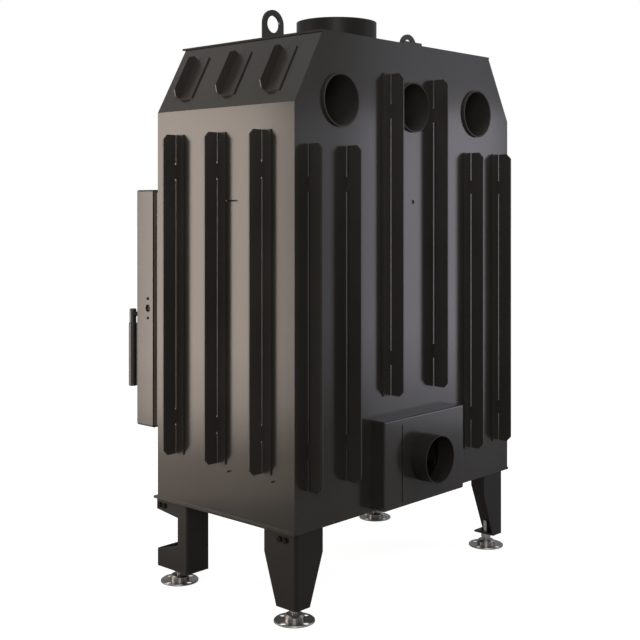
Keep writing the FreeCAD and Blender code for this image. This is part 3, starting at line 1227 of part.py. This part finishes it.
os.makedirs("parts", exist_ok=True)
for piece in NODES:
    piece.Shape.exportStep(f"parts/{piece.Label}.step")
    print(f"{piece.Label}: {len(piece.Shape.Solids)} solids, {piece.Shape.Volume / 1000:.1f} cm3")
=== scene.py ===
import json
import math

import bpy
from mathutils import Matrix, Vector


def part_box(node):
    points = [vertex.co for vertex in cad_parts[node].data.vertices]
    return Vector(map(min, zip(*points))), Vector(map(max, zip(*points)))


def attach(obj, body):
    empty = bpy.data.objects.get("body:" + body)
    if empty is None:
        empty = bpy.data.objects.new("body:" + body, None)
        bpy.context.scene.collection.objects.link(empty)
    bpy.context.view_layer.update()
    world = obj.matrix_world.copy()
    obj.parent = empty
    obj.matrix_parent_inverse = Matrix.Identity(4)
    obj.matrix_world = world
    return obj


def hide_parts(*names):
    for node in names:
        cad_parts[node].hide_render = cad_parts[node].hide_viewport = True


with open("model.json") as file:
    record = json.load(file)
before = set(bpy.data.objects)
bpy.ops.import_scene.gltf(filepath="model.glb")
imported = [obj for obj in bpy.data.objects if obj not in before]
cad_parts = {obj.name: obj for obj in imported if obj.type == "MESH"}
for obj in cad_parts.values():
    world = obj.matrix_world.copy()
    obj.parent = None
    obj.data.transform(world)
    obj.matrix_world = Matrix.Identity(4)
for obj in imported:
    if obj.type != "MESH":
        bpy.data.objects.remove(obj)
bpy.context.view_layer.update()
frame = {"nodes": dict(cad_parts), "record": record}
nodes = frame["nodes"]

MM = 0.001
QUARTER_TURN = math.radians(90)

# Rope seal and window gasket
ROPE_WIDTH = 10 * MM
ROPE_CORNER = 22 * MM
ROPE_CORNER_STEPS = 8
ROPE_SECTION_STEPS = 5
GASKET_WIDTH = 10 * MM
GASKET_SOFT_EDGE = 0.5 * MM

# Screws in the door's side
DOOR_SHEET = 3 * MM
LATCH_PITCH = 41.4 * MM
LATCH_PLUG_RADIUS = 5 * MM
LATCH_PLUG_LENGTH = 10 * MM
LATCH_PLUG_SOCKET = 2 * MM
LATCH_HEAD_RADIUS = 3 * MM
LATCH_HEAD_HEIGHT = 1.5 * MM
LATCH_HEAD_SOCKET = 1.2 * MM
SCREW_EDGE = 0.6 * MM
SOCKET_SIDES = 6

# Levelling feet
FOOT_CORNERS = ("front_right", "front_left", "rear_right", "rear_left")
FOOT_HOLES = 4
FOOT_HOLE_RADIUS = 7 * MM
FOOT_HOLE_REACH = 31 * MM

# How finely the pieces are modelled
ROUND_SIDES = 24
EDGE_STEPS = 3
SAME_POINT = 0.001 * MM
SMOOTH_ANGLE = math.radians(40)
# How far along an axis a face's normal must point to count as facing that way
FACING = 0.9
# How a cylinder made upright is turned to lie along an axis
AXIS_TURNS = {"X": (0.0, QUARTER_TURN, 0.0), "Z": (0.0, 0.0, 0.0)}

# The photograph's viewpoint, worked out from the insert's own edges
IMAGE_WIDTH = 640
FOCAL_PIXELS = 1109.5
SENSOR_MM = 36.0
CAMERA_PLACE = (1.861, 1.675, 0.800)
CAMERA_TURN = (QUARTER_TURN, 0.0, math.radians(132.66))
CAMERA_SHIFT_Y = -0.18

# Floor and backdrop
FLOOR_SIZE = 60.0
FLOOR_DROP = 0.5 * MM
FLOOR_GREY = "8c8c8c"
FLOOR_LIFT = 0.9
WORLD_LIGHT = 0.4
WORLD_SEEN = 1.0
# How much of the background's white is left in a reflection; all of it would turn the black paint grey
MIRRORED_SHARE = 0.2

# Lamp colours
WHITE = "ffffff"
WARM = "ffeee0"
WARM_LOW = "ffe8d6"
FAINTLY_WARM = "fffaf4"
COOL = "f3f0ff"

# Upright lamps fade towards the floor in bands: height and middle in metres, and share of the full power
SIDE_BANDS = {"upper": (0.94, 0.72, 1.0), "middle": (0.157, 0.1715, 0.84), "lower": (0.091, 0.0475, 0.55)}
BACK_BANDS = {"upper": (0.82, 0.72, 1.0), "middle": (0.14, 0.24, 0.78), "lower": (0.14, 0.10, 0.48)}

# Their place and target on plan and their width in metres, full power in watts per square metre, colour
SIDE_LAMPS = {
    "side_softbox": ((1.360, -1.160), (0.44, -0.10), 0.5, 35.6, WARM),
    "side_spill": ((1.639, -0.918), (0.719, 0.142), 0.24, 14.5, WARM),
}
BACK_LAMPS = {
    "back_softbox": ((-1.284, 1.136), (-0.054, 0.198), 0.5, 13.7, COOL),
    "back_spill": ((-1.045, 1.45), (0.185, 0.512), 0.29, 3.25, COOL),
}

# Other lamps: place, target, width and height in metres, power in watts, colour
SIDE_BOUNCE = ((0.984, -0.695, 0.048), (0.823, -0.515, 1.017), 0.5, 0.394, 0.9, WARM_LOW)
PLAIN_LAMPS = {
    "back_top_spill": ((-1.284, 1.136, 1.34), (-0.054, 0.198, 1.34), 0.5, 0.42, 0.7, COOL),
    "fill_softbox": ((2.2, 2.0, 1.5), (0.0, 0.0, 0.55), 1.2, 1.2, 30.0, WHITE),
    "front_softbox": ((1.1, -2.2, 3.0), (0.3, 0.0, 1.07), 2.0, 1.6, 4.0, FAINTLY_WARM),
    "top_softbox": ((0.4, 0.6, 3.4), (0.0, 0.0, 0.6), 2.0, 2.0, 40.0, WHITE),
}


def linear(hex_colour):
    """A six-digit sRGB colour as linear red, green, blue and alpha."""
    channels = [int(hex_colour[start:start + 2], 16) / 255 for start in (0, 2, 4)]
    spread = [c / 12.92 if c <= 0.04045 else ((c + 0.055) / 1.055) ** 2.4 for c in channels]
    return (*spread, 1.0)


def add_node(material, kind, settings=None, links=None, stops=()):
    """Adds a shader node.

    Settings go to its properties or sockets, links bring other nodes' outputs to its sockets, and stops are
    the positions and colours of a colour ramp.
    """
    tree = material.node_tree
    node = tree.nodes.new(kind)
    for name, setting in (settings or {}).items():
        if isinstance(name, str) and hasattr(node, name):
            setattr(node, name, setting)
        else:
            node.inputs[name].default_value = setting
    for name, output in (links or {}).items():
        tree.links.new(output, node.inputs[name])
    for index, (position, colour) in enumerate(stops):
        node.color_ramp.elements[index].position = position
        node.color_ramp.elements[index].color = linear(colour)
    return node


def new_material(name):
    """A material with an empty tree."""
    material = bpy.data.materials.new(name)
    material.use_nodes = True
    material.node_tree.nodes.clear()
    return material


def finish_material(material, shader_output):
    """Joins a shader to the material's output."""
    add_node(material, "ShaderNodeOutputMaterial", links={"Surface": shader_output})
    return material


def per_metre(size_mm):
    """The texture scale at which one repeat is that many millimetres."""
    return 1000.0 / size_mm


def wave_scale(size_mm):
    """The wave texture's scale at which one band is that many millimetres."""
    return 2 * math.pi / 20 / (size_mm * MM)


def dark_coating(name, dark, light, roughness, specular, metallic=0.0, grain_mm=2.5, grain_height=0.04):
    """A thin dark skin on sheet, bar or casting: faint clouds of tone and gloss over a grain.

    The grain of sprayed paint is really a few tenths of a millimetre. It is drawn coarser so that it shows.
    """
    material = new_material(name)
    place = add_node(material, "ShaderNodeTexCoord").outputs["Object"]
    clouds = add_node(material, "ShaderNodeTexNoise", {"Scale": per_metre(180), "Detail": 4.0},
                      {"Vector": place})
    grain = add_node(material, "ShaderNodeTexNoise", {"Scale": per_metre(grain_mm), "Detail": 3.0},
                     {"Vector": place})
    tint = add_node(material, "ShaderNodeValToRGB", links={"Fac": clouds.outputs["Fac"]},
                    stops=((0.3, dark), (0.7, light)))
    gloss = add_node(material, "ShaderNodeMapRange",
                     {"To Min": roughness - 0.03, "To Max": roughness + 0.03},
                     {"Value": clouds.outputs["Fac"]})
    skin = add_node(material, "ShaderNodeBump", {"Strength": grain_height, "Distance": 0.3 * MM},
                    {"Height": grain.outputs["Fac"]})
    shader = add_node(material, "ShaderNodeBsdfPrincipled",
                      {"Metallic": metallic, "Specular IOR Level": specular},
                      {"Base Color": tint.outputs["Color"], "Roughness": gloss.outputs["Result"],
                       "Normal": skin.outputs["Normal"]})
    return finish_material(material, shader.outputs["BSDF"])


def plated_metal(name, dark, light, edge, roughness, mark_mm):
    """Bare or plated steel: bright, with the marks of turning, drawn coarser than real so that they show."""
    material = new_material(name)
    place = add_node(material, "ShaderNodeTexCoord").outputs["Object"]
    clouds = add_node(material, "ShaderNodeTexNoise", {"Scale": per_metre(25), "Detail": 5.0},
                      {"Vector": place})
    marks = add_node(material, "ShaderNodeTexNoise", {"Scale": per_metre(mark_mm), "Detail": 2.0},
                     {"Vector": place})
    tint = add_node(material, "ShaderNodeValToRGB", links={"Fac": clouds.outputs["Fac"]},
                    stops=((0.3, dark), (0.7, light)))
    gloss = add_node(material, "ShaderNodeMapRange",
                     {"To Min": roughness - 0.06, "To Max": roughness + 0.08},
                     {"Value": marks.outputs["Fac"]})
    shader = add_node(material, "ShaderNodeBsdfPrincipled", {"Metallic": 1.0, "Specular Tint": linear(edge)},
                      {"Base Color": tint.outputs["Color"], "Roughness": gloss.outputs["Result"]})
    return finish_material(material, shader.outputs["BSDF"])


def pressed_board(name, dark, light, grit_mm):
    """Pressed board: matt, with grit that shows as pits."""
    material = new_material(name)
    place = add_node(material, "ShaderNodeTexCoord").outputs["Object"]
    grit = add_node(material, "ShaderNodeTexVoronoi", {"Scale": per_metre(grit_mm)}, {"Vector": place})
    clouds = add_node(material, "ShaderNodeTexNoise", {"Scale": per_metre(60), "Detail": 6.0},
                      {"Vector": place})
    tint = add_node(material, "ShaderNodeValToRGB", links={"Fac": clouds.outputs["Fac"]},
                    stops=((0.25, dark), (0.75, light)))
    pits = add_node(material, "ShaderNodeBump", {"Strength": 0.35, "Distance": 1.0 * MM},
                    {"Height": grit.outputs["Distance"]})
    shader = add_node(material, "ShaderNodeBsdfPrincipled", {"Roughness": 0.9},
                      {"Base Color": tint.outputs["Color"], "Normal": pits.outputs["Normal"]})
    return finish_material(material, shader.outputs["BSDF"])


def braided_fibre(name, dark, light, strand_mm):
    """Braided fibre: strands that cross at a slant, whichever way the rope runs round the door, with painted
    shade darkening the grooves between the strands.
    """
    material = new_material(name)
    place = add_node(material, "ShaderNodeTexCoord").outputs["Object"]
    slants = []
    for turn in (45, -45):
        turned = add_node(material, "ShaderNodeMapping", {"Rotation": (0.0, math.radians(turn), 0.0)},
                          {"Vector": place})
        slants.append(add_node(material, "ShaderNodeTexWave", {"Scale": wave_scale(strand_mm)},
                               {"Vector": turned.outputs["Vector"]}))
    strands = add_node(material, "ShaderNodeMath", {"operation": "MAXIMUM"},
                       {0: slants[0].outputs["Fac"], 1: slants[1].outputs["Fac"]})
    # Painted shade: the ramp turns the grooves between the strands dark and the strand crests light
    tint = add_node(material, "ShaderNodeValToRGB", links={"Fac": strands.outputs[0]},
                    stops=((0.2, dark), (1.0, light)))
    weave = add_node(material, "ShaderNodeBump", {"Strength": 0.6, "Distance": 0.8 * MM},
                     {"Height": strands.outputs[0]})
    shader = add_node(material, "ShaderNodeBsdfPrincipled", {"Roughness": 0.85},
                      {"Base Color": tint.outputs["Color"], "Normal": weave.outputs["Normal"]})
    return finish_material(material, shader.outputs["BSDF"])


def fire_glass(name, colour, ior):
    """Clear glass, polished on both faces, with a little haze."""
    material = new_material(name)
    place = add_node(material, "ShaderNodeTexCoord").outputs["Object"]
    haze = add_node(material, "ShaderNodeTexNoise", {"Scale": per_metre(120), "Detail": 3.0},
                    {"Vector": place})
    gloss = add_node(material, "ShaderNodeMapRange", {"To Min": 0.02, "To Max": 0.06},
                     {"Value": haze.outputs["Fac"]})
    shader = add_node(material, "ShaderNodeBsdfPrincipled",
                      {"Base Color": linear(colour), "Transmission Weight": 1.0, "IOR": ior},
                      {"Roughness": gloss.outputs["Result"]})
    return finish_material(material, shader.outputs["BSDF"])


# Stoved satin paint: nearly black, with a soft mirror in which the fins and the lamps show
PANEL_PAINT = dark_coating("satin_black_heat_paint", "252320", "2b2926", roughness=0.17, specular=0.22)
# The same paint on the fins, a little greyer and with a wide weak shine: the greyer colour is painted light,
# a lighter copy of the wall paint that stands in for light the lamps don't give the fins
FIN_PAINT_LIGHTENED_AS_PAINTED_LIGHT = dark_coating("black_heat_paint_lightened_as_painted_light", "2d2a27", "33302d", roughness=0.3, specular=0.18)
# One thin coat of it: flat black with hardly any shine
DULL_PAINT = dark_coating("dull_black_heat_paint", "1d1b19", "22201e", roughness=0.4, specular=0.12)
# The skin that the rolling mill leaves on tube: dark grey and rough
SCALED_STEEL = dark_coating("mill_scale_steel", "292624", "33302d", roughness=0.6, specular=0.15,
                            grain_mm=1.5, grain_height=0.1)
# Steel blackened in a bath and oiled: deep black with a dim, even sheen
BLACK_STEEL = dark_coating("black_oxide_steel", "191817", "201f1d", roughness=0.45, specular=0.2,
                           grain_mm=1.2, grain_height=0.03)
# Blackened steel rubbed bright by hands: a narrow light line down the bar
HANDLE_BLACK = dark_coating("burnished_black_steel", "211f1d", "292624", roughness=0.3, specular=0.5,
                            grain_mm=1.2, grain_height=0.03)
# Plain sheet that the fire has browned: a dull warm grey
BROWNED_STEEL = dark_coating("heat_browned_steel", "5d5047", "6e6057", roughness=0.5, specular=0.3,
                             grain_mm=1.5, grain_height=0.08)
# Phosphate coating on screws: a dry black that takes up nearly all light
PHOSPHATED = dark_coating("phosphated_screws", "131211", "1a1918", roughness=0.7, specular=0.05,
                          grain_mm=0.8, grain_height=0.05)
# Zinc plating on the feet: light grey metal with soft, broken reflections
ZINC = plated_metal("zinc_plate", "908f8d", "aba9a6", "c4c2bf", roughness=0.3, mark_mm=1.5)
# Turned and drawn bare steel: grey metal, a little duller than the zinc
BARE_STEEL = plated_metal("bare_steel", "86837f", "a09d98", "c8c6c2", roughness=0.34, mark_mm=1.0)
# Iron as it comes from the sand: dark grey, coarse and half metallic
CAST_IRON = dark_coating("cast_iron", "2b2a29", "3a3937", roughness=0.7, specular=0.3, metallic=0.5,
                         grain_mm=3.0, grain_height=0.35)
# Fire clay pressed with grit: chalky grey-brown without any shine
FIRE_BOARD = pressed_board("fire_clay_board", "6f6a62", "857f75", grit_mm=3.0)
# Dyed glass fibre, braided: dark grey strands, with painted shade making the grooves between them black
ROPE = braided_fibre("glass_fibre_rope", "2b2927", "5a5752", strand_mm=3.2)
# Glass ceramic of the window: clear, with a faint amber cast
WINDOW = fire_glass("glass_ceramic", "e8ddcc", ior=1.52)

SLOT_MATERIALS = {
    "heat_paint": PANEL_PAINT,
    "black_steel": BLACK_STEEL,
    "bare_steel": BARE_STEEL,
    "zinc": ZINC,
    "cast_iron": CAST_IRON,
    "fire_board": FIRE_BOARD,
    "fibre": ROPE,
    "glass": WINDOW,
}

# Pieces whose finish differs from the rest of their slot
PIECE_MATERIALS = {
    # The fins take the lighter copy of the wall paint, which is painted light
    "side_fins": FIN_PAINT_LIGHTENED_AS_PAINTED_LIGHT,
    "slope_fins": FIN_PAINT_LIGHTENED_AS_PAINTED_LIGHT,
    "back_fins": FIN_PAINT_LIGHTENED_AS_PAINTED_LIGHT,
    "flue_collar": DULL_PAINT,
    "intake_pipe": DULL_PAINT,
    "rear_legs": DULL_PAINT,
    "front_legs": DULL_PAINT,
    "convection_tubes": SCALED_STEEL,
    "door_handle": HANDLE_BLACK,
    "handle_grip": HANDLE_BLACK,
    "door_back_plate": BROWNED_STEEL,
    "handle_shaft": PHOSPHATED,
    "latch_block": PHOSPHATED,
    "leg_bolts": PHOSPHATED,
}


def dress(piece, material):
    """Gives a piece its one material."""
    piece.data.materials.clear()
    piece.data.materials.append(material)


def dress_cad_nodes():
    for subpart in frame["record"]["subparts"]:
        name = subpart["node"]
        dress(nodes[name], PIECE_MATERIALS.get(name, SLOT_MATERIALS[subpart["material_slot"]]))


def select_only(piece):
    """Makes a piece the only one that the next operator acts on."""
    bpy.ops.object.select_all(action="DESELECT")
    piece.select_set(True)
    bpy.context.view_layer.objects.active = piece


def stand_for(piece, node, body, material):
    """Puts a modelled piece in the place of a plain solid."""
    select_only(piece)
    bpy.ops.object.shade_smooth_by_angle(angle=SMOOTH_ANGLE)
    dress(piece, material)
    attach(piece, body)
    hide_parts(node)


def upright_sheet(name, low, high, depth):
    """A plain upright sheet across the width, at one depth, ready to be shaped in edit mode."""
    bpy.ops.object.select_all(action="DESELECT")
    middle = ((low.x + high.x) / 2, depth, (low.z + high.z) / 2)
    bpy.ops.mesh.primitive_plane_add(size=1.0, location=middle, rotation=(QUARTER_TURN, 0.0, 0.0))
    piece = bpy.context.object
    piece.name = name
    piece.scale = (high.x - low.x, high.z - low.z, 1.0)
    bpy.ops.object.transform_apply(location=True, rotation=True, scale=True)
    return piece


def make_rope_seal():
    """A closed loop of rope with rounded corners, pressed oval between the door and its surround."""
    low, high = (Vector(corner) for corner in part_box("door_rope_seal"))
    inset = Vector((ROPE_WIDTH / 2, 0.0, ROPE_WIDTH / 2))
    middle_depth = (low.y + high.y) / 2
    pressed = (high.y - low.y) / ROPE_WIDTH
    rope = upright_sheet("rope_seal", low + inset, high - inset, middle_depth)
    bpy.ops.object.mode_set(mode="EDIT")
    bpy.ops.mesh.select_all(action="SELECT")
    bpy.ops.mesh.bevel(offset=ROPE_CORNER, segments=ROPE_CORNER_STEPS, affect="VERTICES")
    bpy.ops.mesh.select_all(action="SELECT")
    bpy.ops.mesh.delete(type="ONLY_FACE")
    bpy.ops.object.mode_set(mode="OBJECT")
    bpy.ops.object.convert(target="CURVE")
    rope.data.bevel_depth = ROPE_WIDTH / 2
    rope.data.bevel_resolution = ROPE_SECTION_STEPS
    bpy.ops.object.convert(target="MESH")
    bpy.ops.object.mode_set(mode="EDIT")
    bpy.ops.mesh.select_all(action="SELECT")
    bpy.ops.transform.resize(value=(1.0, pressed, 1.0), center_override=(0.0, middle_depth, 0.0))
    bpy.ops.mesh.normals_make_consistent(inside=False)
    bpy.ops.object.mode_set(mode="OBJECT")
    stand_for(rope, "door_rope_seal", "door", ROPE)


def make_window_gasket():
    """A flat fibre tape round the window, soft along its edges."""
    low, high = (Vector(corner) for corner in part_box("glass_gasket"))
    tape = upright_sheet("window_gasket", low, high, low.y)
    bpy.ops.object.mode_set(mode="EDIT")
    bpy.ops.mesh.select_all(action="SELECT")
    bpy.ops.mesh.inset(thickness=GASKET_WIDTH)
    bpy.ops.mesh.delete(type="FACE")
    bpy.ops.mesh.select_all(action="SELECT")
    bpy.ops.mesh.extrude_region_move(TRANSFORM_OT_translate={"value": (0.0, high.y - low.y, 0.0)})
    bpy.ops.mesh.select_all(action="SELECT")
    bpy.ops.mesh.normals_make_consistent(inside=False)
    bpy.ops.mesh.bevel(offset=GASKET_SOFT_EDGE, segments=EDGE_STEPS, affect="EDGES")
    bpy.ops.object.mode_set(mode="OBJECT")
    stand_for(tape, "glass_gasket", "door", ROPE)


def drill(piece, sides, radius, depth, place, along="Z"):
    """Cuts a round or hexagonal hole, centred on a place, through a piece or into it."""
    bpy.ops.mesh.primitive_cylinder_add(vertices=sides, radius=radius, depth=depth, location=place,
                                        rotation=AXIS_TURNS[along])
    bit = bpy.context.object
    select_only(piece)
    cut = piece.modifiers.new("hole", "BOOLEAN")
    cut.operation = "DIFFERENCE"
    cut.object = bit
    bpy.ops.object.modifier_apply(modifier=cut.name)
    bpy.data.objects.remove(bit)


def side_screw(name, radius, length, face, socket):
    """A screw that points out of the door's side, with a rounded end and a hexagon socket in it."""
    bpy.ops.object.select_all(action="DESELECT")
    middle = face - Vector((length / 2, 0.0, 0.0))
    bpy.ops.mesh.primitive_cylinder_add(vertices=ROUND_SIDES, radius=radius, depth=length, location=middle,
                                        rotation=AXIS_TURNS["X"])
    screw = bpy.context.object
    screw.name = name
    bpy.ops.object.transform_apply(location=True, rotation=True, scale=True)
    for side in screw.data.polygons:
        side.select = side.normal.x > FACING
    bpy.ops.object.mode_set(mode="EDIT")
    bpy.ops.mesh.select_mode(type="FACE")
    bpy.ops.mesh.bevel(offset=SCREW_EDGE, segments=EDGE_STEPS, affect="EDGES")
    bpy.ops.object.mode_set(mode="OBJECT")
    drill(screw, SOCKET_SIDES, socket, 2 * socket, face, "X")
    return screw


def make_latch_screws():
    """The adjusting screw in the door's side hole, and a dark button head above and below the hole."""
    low, high = (Vector(corner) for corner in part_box("latch_screws"))
    hole = Vector((high.x, (low.y + high.y) / 2, (low.z + high.z) / 2))
    plug_face = hole - Vector((DOOR_SHEET, 0.0, 0.0))
    plug = side_screw("latch_adjusting_screw", LATCH_PLUG_RADIUS, LATCH_PLUG_LENGTH, plug_face,
                      LATCH_PLUG_SOCKET)
    stand_for(plug, "latch_screws", "door", BLACK_STEEL)
    for name, side in (("upper", 1), ("lower", -1)):
        head_face = hole + Vector((LATCH_HEAD_HEIGHT, 0.0, side * LATCH_PITCH / 2))
        head = side_screw(f"latch_button_screw_{name}", LATCH_HEAD_RADIUS, LATCH_HEAD_HEIGHT, head_face,
                          LATCH_HEAD_SOCKET)
        stand_for(head, "latch_screws", "door", PHOSPHATED)


def make_drilled_foot(corner):
    """A levelling foot's plate with the fixing holes round its hub."""
    node = f"foot_plate_{corner}"
    low, high = (Vector(place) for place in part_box(node))
    right_through = 3 * (high.z - low.z)
    plate = bpy.data.objects.new(f"drilled_{node}", nodes[node].data.copy())
    bpy.context.scene.collection.objects.link(plate)
    select_only(plate)
    bpy.ops.mesh.customdata_custom_splitnormals_clear()
    bpy.ops.object.mode_set(mode="EDIT")
    bpy.ops.mesh.select_all(action="SELECT")
    bpy.ops.mesh.remove_doubles(threshold=SAME_POINT)
    bpy.ops.object.mode_set(mode="OBJECT")
    for hole in range(FOOT_HOLES):
        angle = 2 * math.pi * hole / FOOT_HOLES
        outwards = Vector((math.cos(angle), math.sin(angle), 0.0))
        drill(plate, ROUND_SIDES, FOOT_HOLE_RADIUS, right_through,
              (low + high) / 2 + FOOT_HOLE_REACH * outwards)
    stand_for(plate, node, f"foot_{corner}", ZINC)


def make_camera():
    camera = bpy.data.cameras.new("photo_camera")
    camera.sensor_width = SENSOR_MM
    camera.lens = FOCAL_PIXELS * SENSOR_MM / IMAGE_WIDTH
    camera.shift_y = CAMERA_SHIFT_Y
    holder = bpy.data.objects.new("photo_camera", camera)
    holder.location = CAMERA_PLACE
    holder.rotation_euler = CAMERA_TURN
    bpy.context.scene.collection.objects.link(holder)
    bpy.context.scene.camera = holder


def seen_rays(background):
    """1 where the background is seen straight on or through glass, less in a reflection, 0 as a light."""
    paths = add_node(background, "ShaderNodeLightPath")
    mirrored = add_node(background, "ShaderNodeMath", {"operation": "MULTIPLY", 1: MIRRORED_SHARE},
                        {0: paths.outputs["Is Glossy Ray"]})
    seen = add_node(background, "ShaderNodeMath", {"operation": "MAXIMUM"},
                    {0: paths.outputs["Is Camera Ray"], 1: mirrored.outputs[0]})
    seen = add_node(background, "ShaderNodeMath", {"operation": "MAXIMUM"},
                    {0: seen.outputs[0], 1: paths.outputs["Is Transmission Ray"]})
    return seen.outputs[0]


def make_floor():
    """A pale floor that looks white to the camera and keeps the insert's shadow."""
    bpy.ops.object.select_all(action="DESELECT")
    bpy.ops.mesh.primitive_plane_add(size=FLOOR_SIZE, location=(0.0, 0.0, -FLOOR_DROP))
    floor = bpy.context.object
    floor.name = "studio_floor"
    material = new_material("studio_floor")
    lift = add_node(material, "ShaderNodeMath", {"operation": "MULTIPLY", 1: FLOOR_LIFT},
                    {0: seen_rays(material)})
    shader = add_node(material, "ShaderNodeBsdfPrincipled",
                      {"Base Color": linear(FLOOR_GREY), "Roughness": 0.9, "Emission Color": linear(WHITE)},
                      {"Emission Strength": lift.outputs[0]})
    dress(floor, finish_material(material, shader.outputs["BSDF"]))


def make_world():
    """White behind the insert; a softer grey in its reflections and as the light from all round."""
    world = bpy.data.worlds.new("studio")
    bpy.context.scene.world = world
    world.use_nodes = True
    world.node_tree.nodes.clear()
    strength = add_node(world, "ShaderNodeMapRange", {"To Min": WORLD_LIGHT, "To Max": WORLD_SEEN},
                        {"Value": seen_rays(world)})
    light = add_node(world, "ShaderNodeBackground", {"Color": linear(WHITE)},
                     {"Strength": strength.outputs["Result"]})
    add_node(world, "ShaderNodeOutputWorld", links={"Surface": light.outputs["Background"]})


def make_softbox(name, place, target, width, height, power, colour):
    """A lamp behind a rectangle of cloth, turned towards its target and not seen by the camera."""
    lamp = bpy.data.lights.new(name, "AREA")
    lamp.shape = "RECTANGLE"
    lamp.size = width
    lamp.size_y = height
    lamp.energy = power
    lamp.color = linear(colour)[:3]
    holder = bpy.data.objects.new(name, lamp)
    holder.location = place
    holder.rotation_euler = (Vector(target) - Vector(place)).to_track_quat("-Z", "Y").to_euler()
    holder.visible_camera = False
    bpy.context.scene.collection.objects.link(holder)


def make_banded_softboxes(lamps, bands):
    """Upright lamps made up of bands one above the other."""
    for band, (height, middle, share) in bands.items():
        for name, (place, target, width, power, colour) in lamps.items():
            make_softbox(f"{name}_{band}", (*place, middle), (*target, middle), width, height,
                         width * height * share * power, colour)


def make_lamps():
    make_banded_softboxes(SIDE_LAMPS, SIDE_BANDS)
    make_softbox("side_bounce", *SIDE_BOUNCE)
    make_banded_softboxes(BACK_LAMPS, BACK_BANDS)
    for name, settings in PLAIN_LAMPS.items():
        make_softbox(name, *settings)


dress_cad_nodes()
make_rope_seal()
make_window_gasket()
make_latch_screws()
for foot_corner in FOOT_CORNERS:
    make_drilled_foot(foot_corner)

make_camera()
make_floor()
make_world()
make_lamps()
bpy.context.scene.view_settings.view_transform = "Standard"
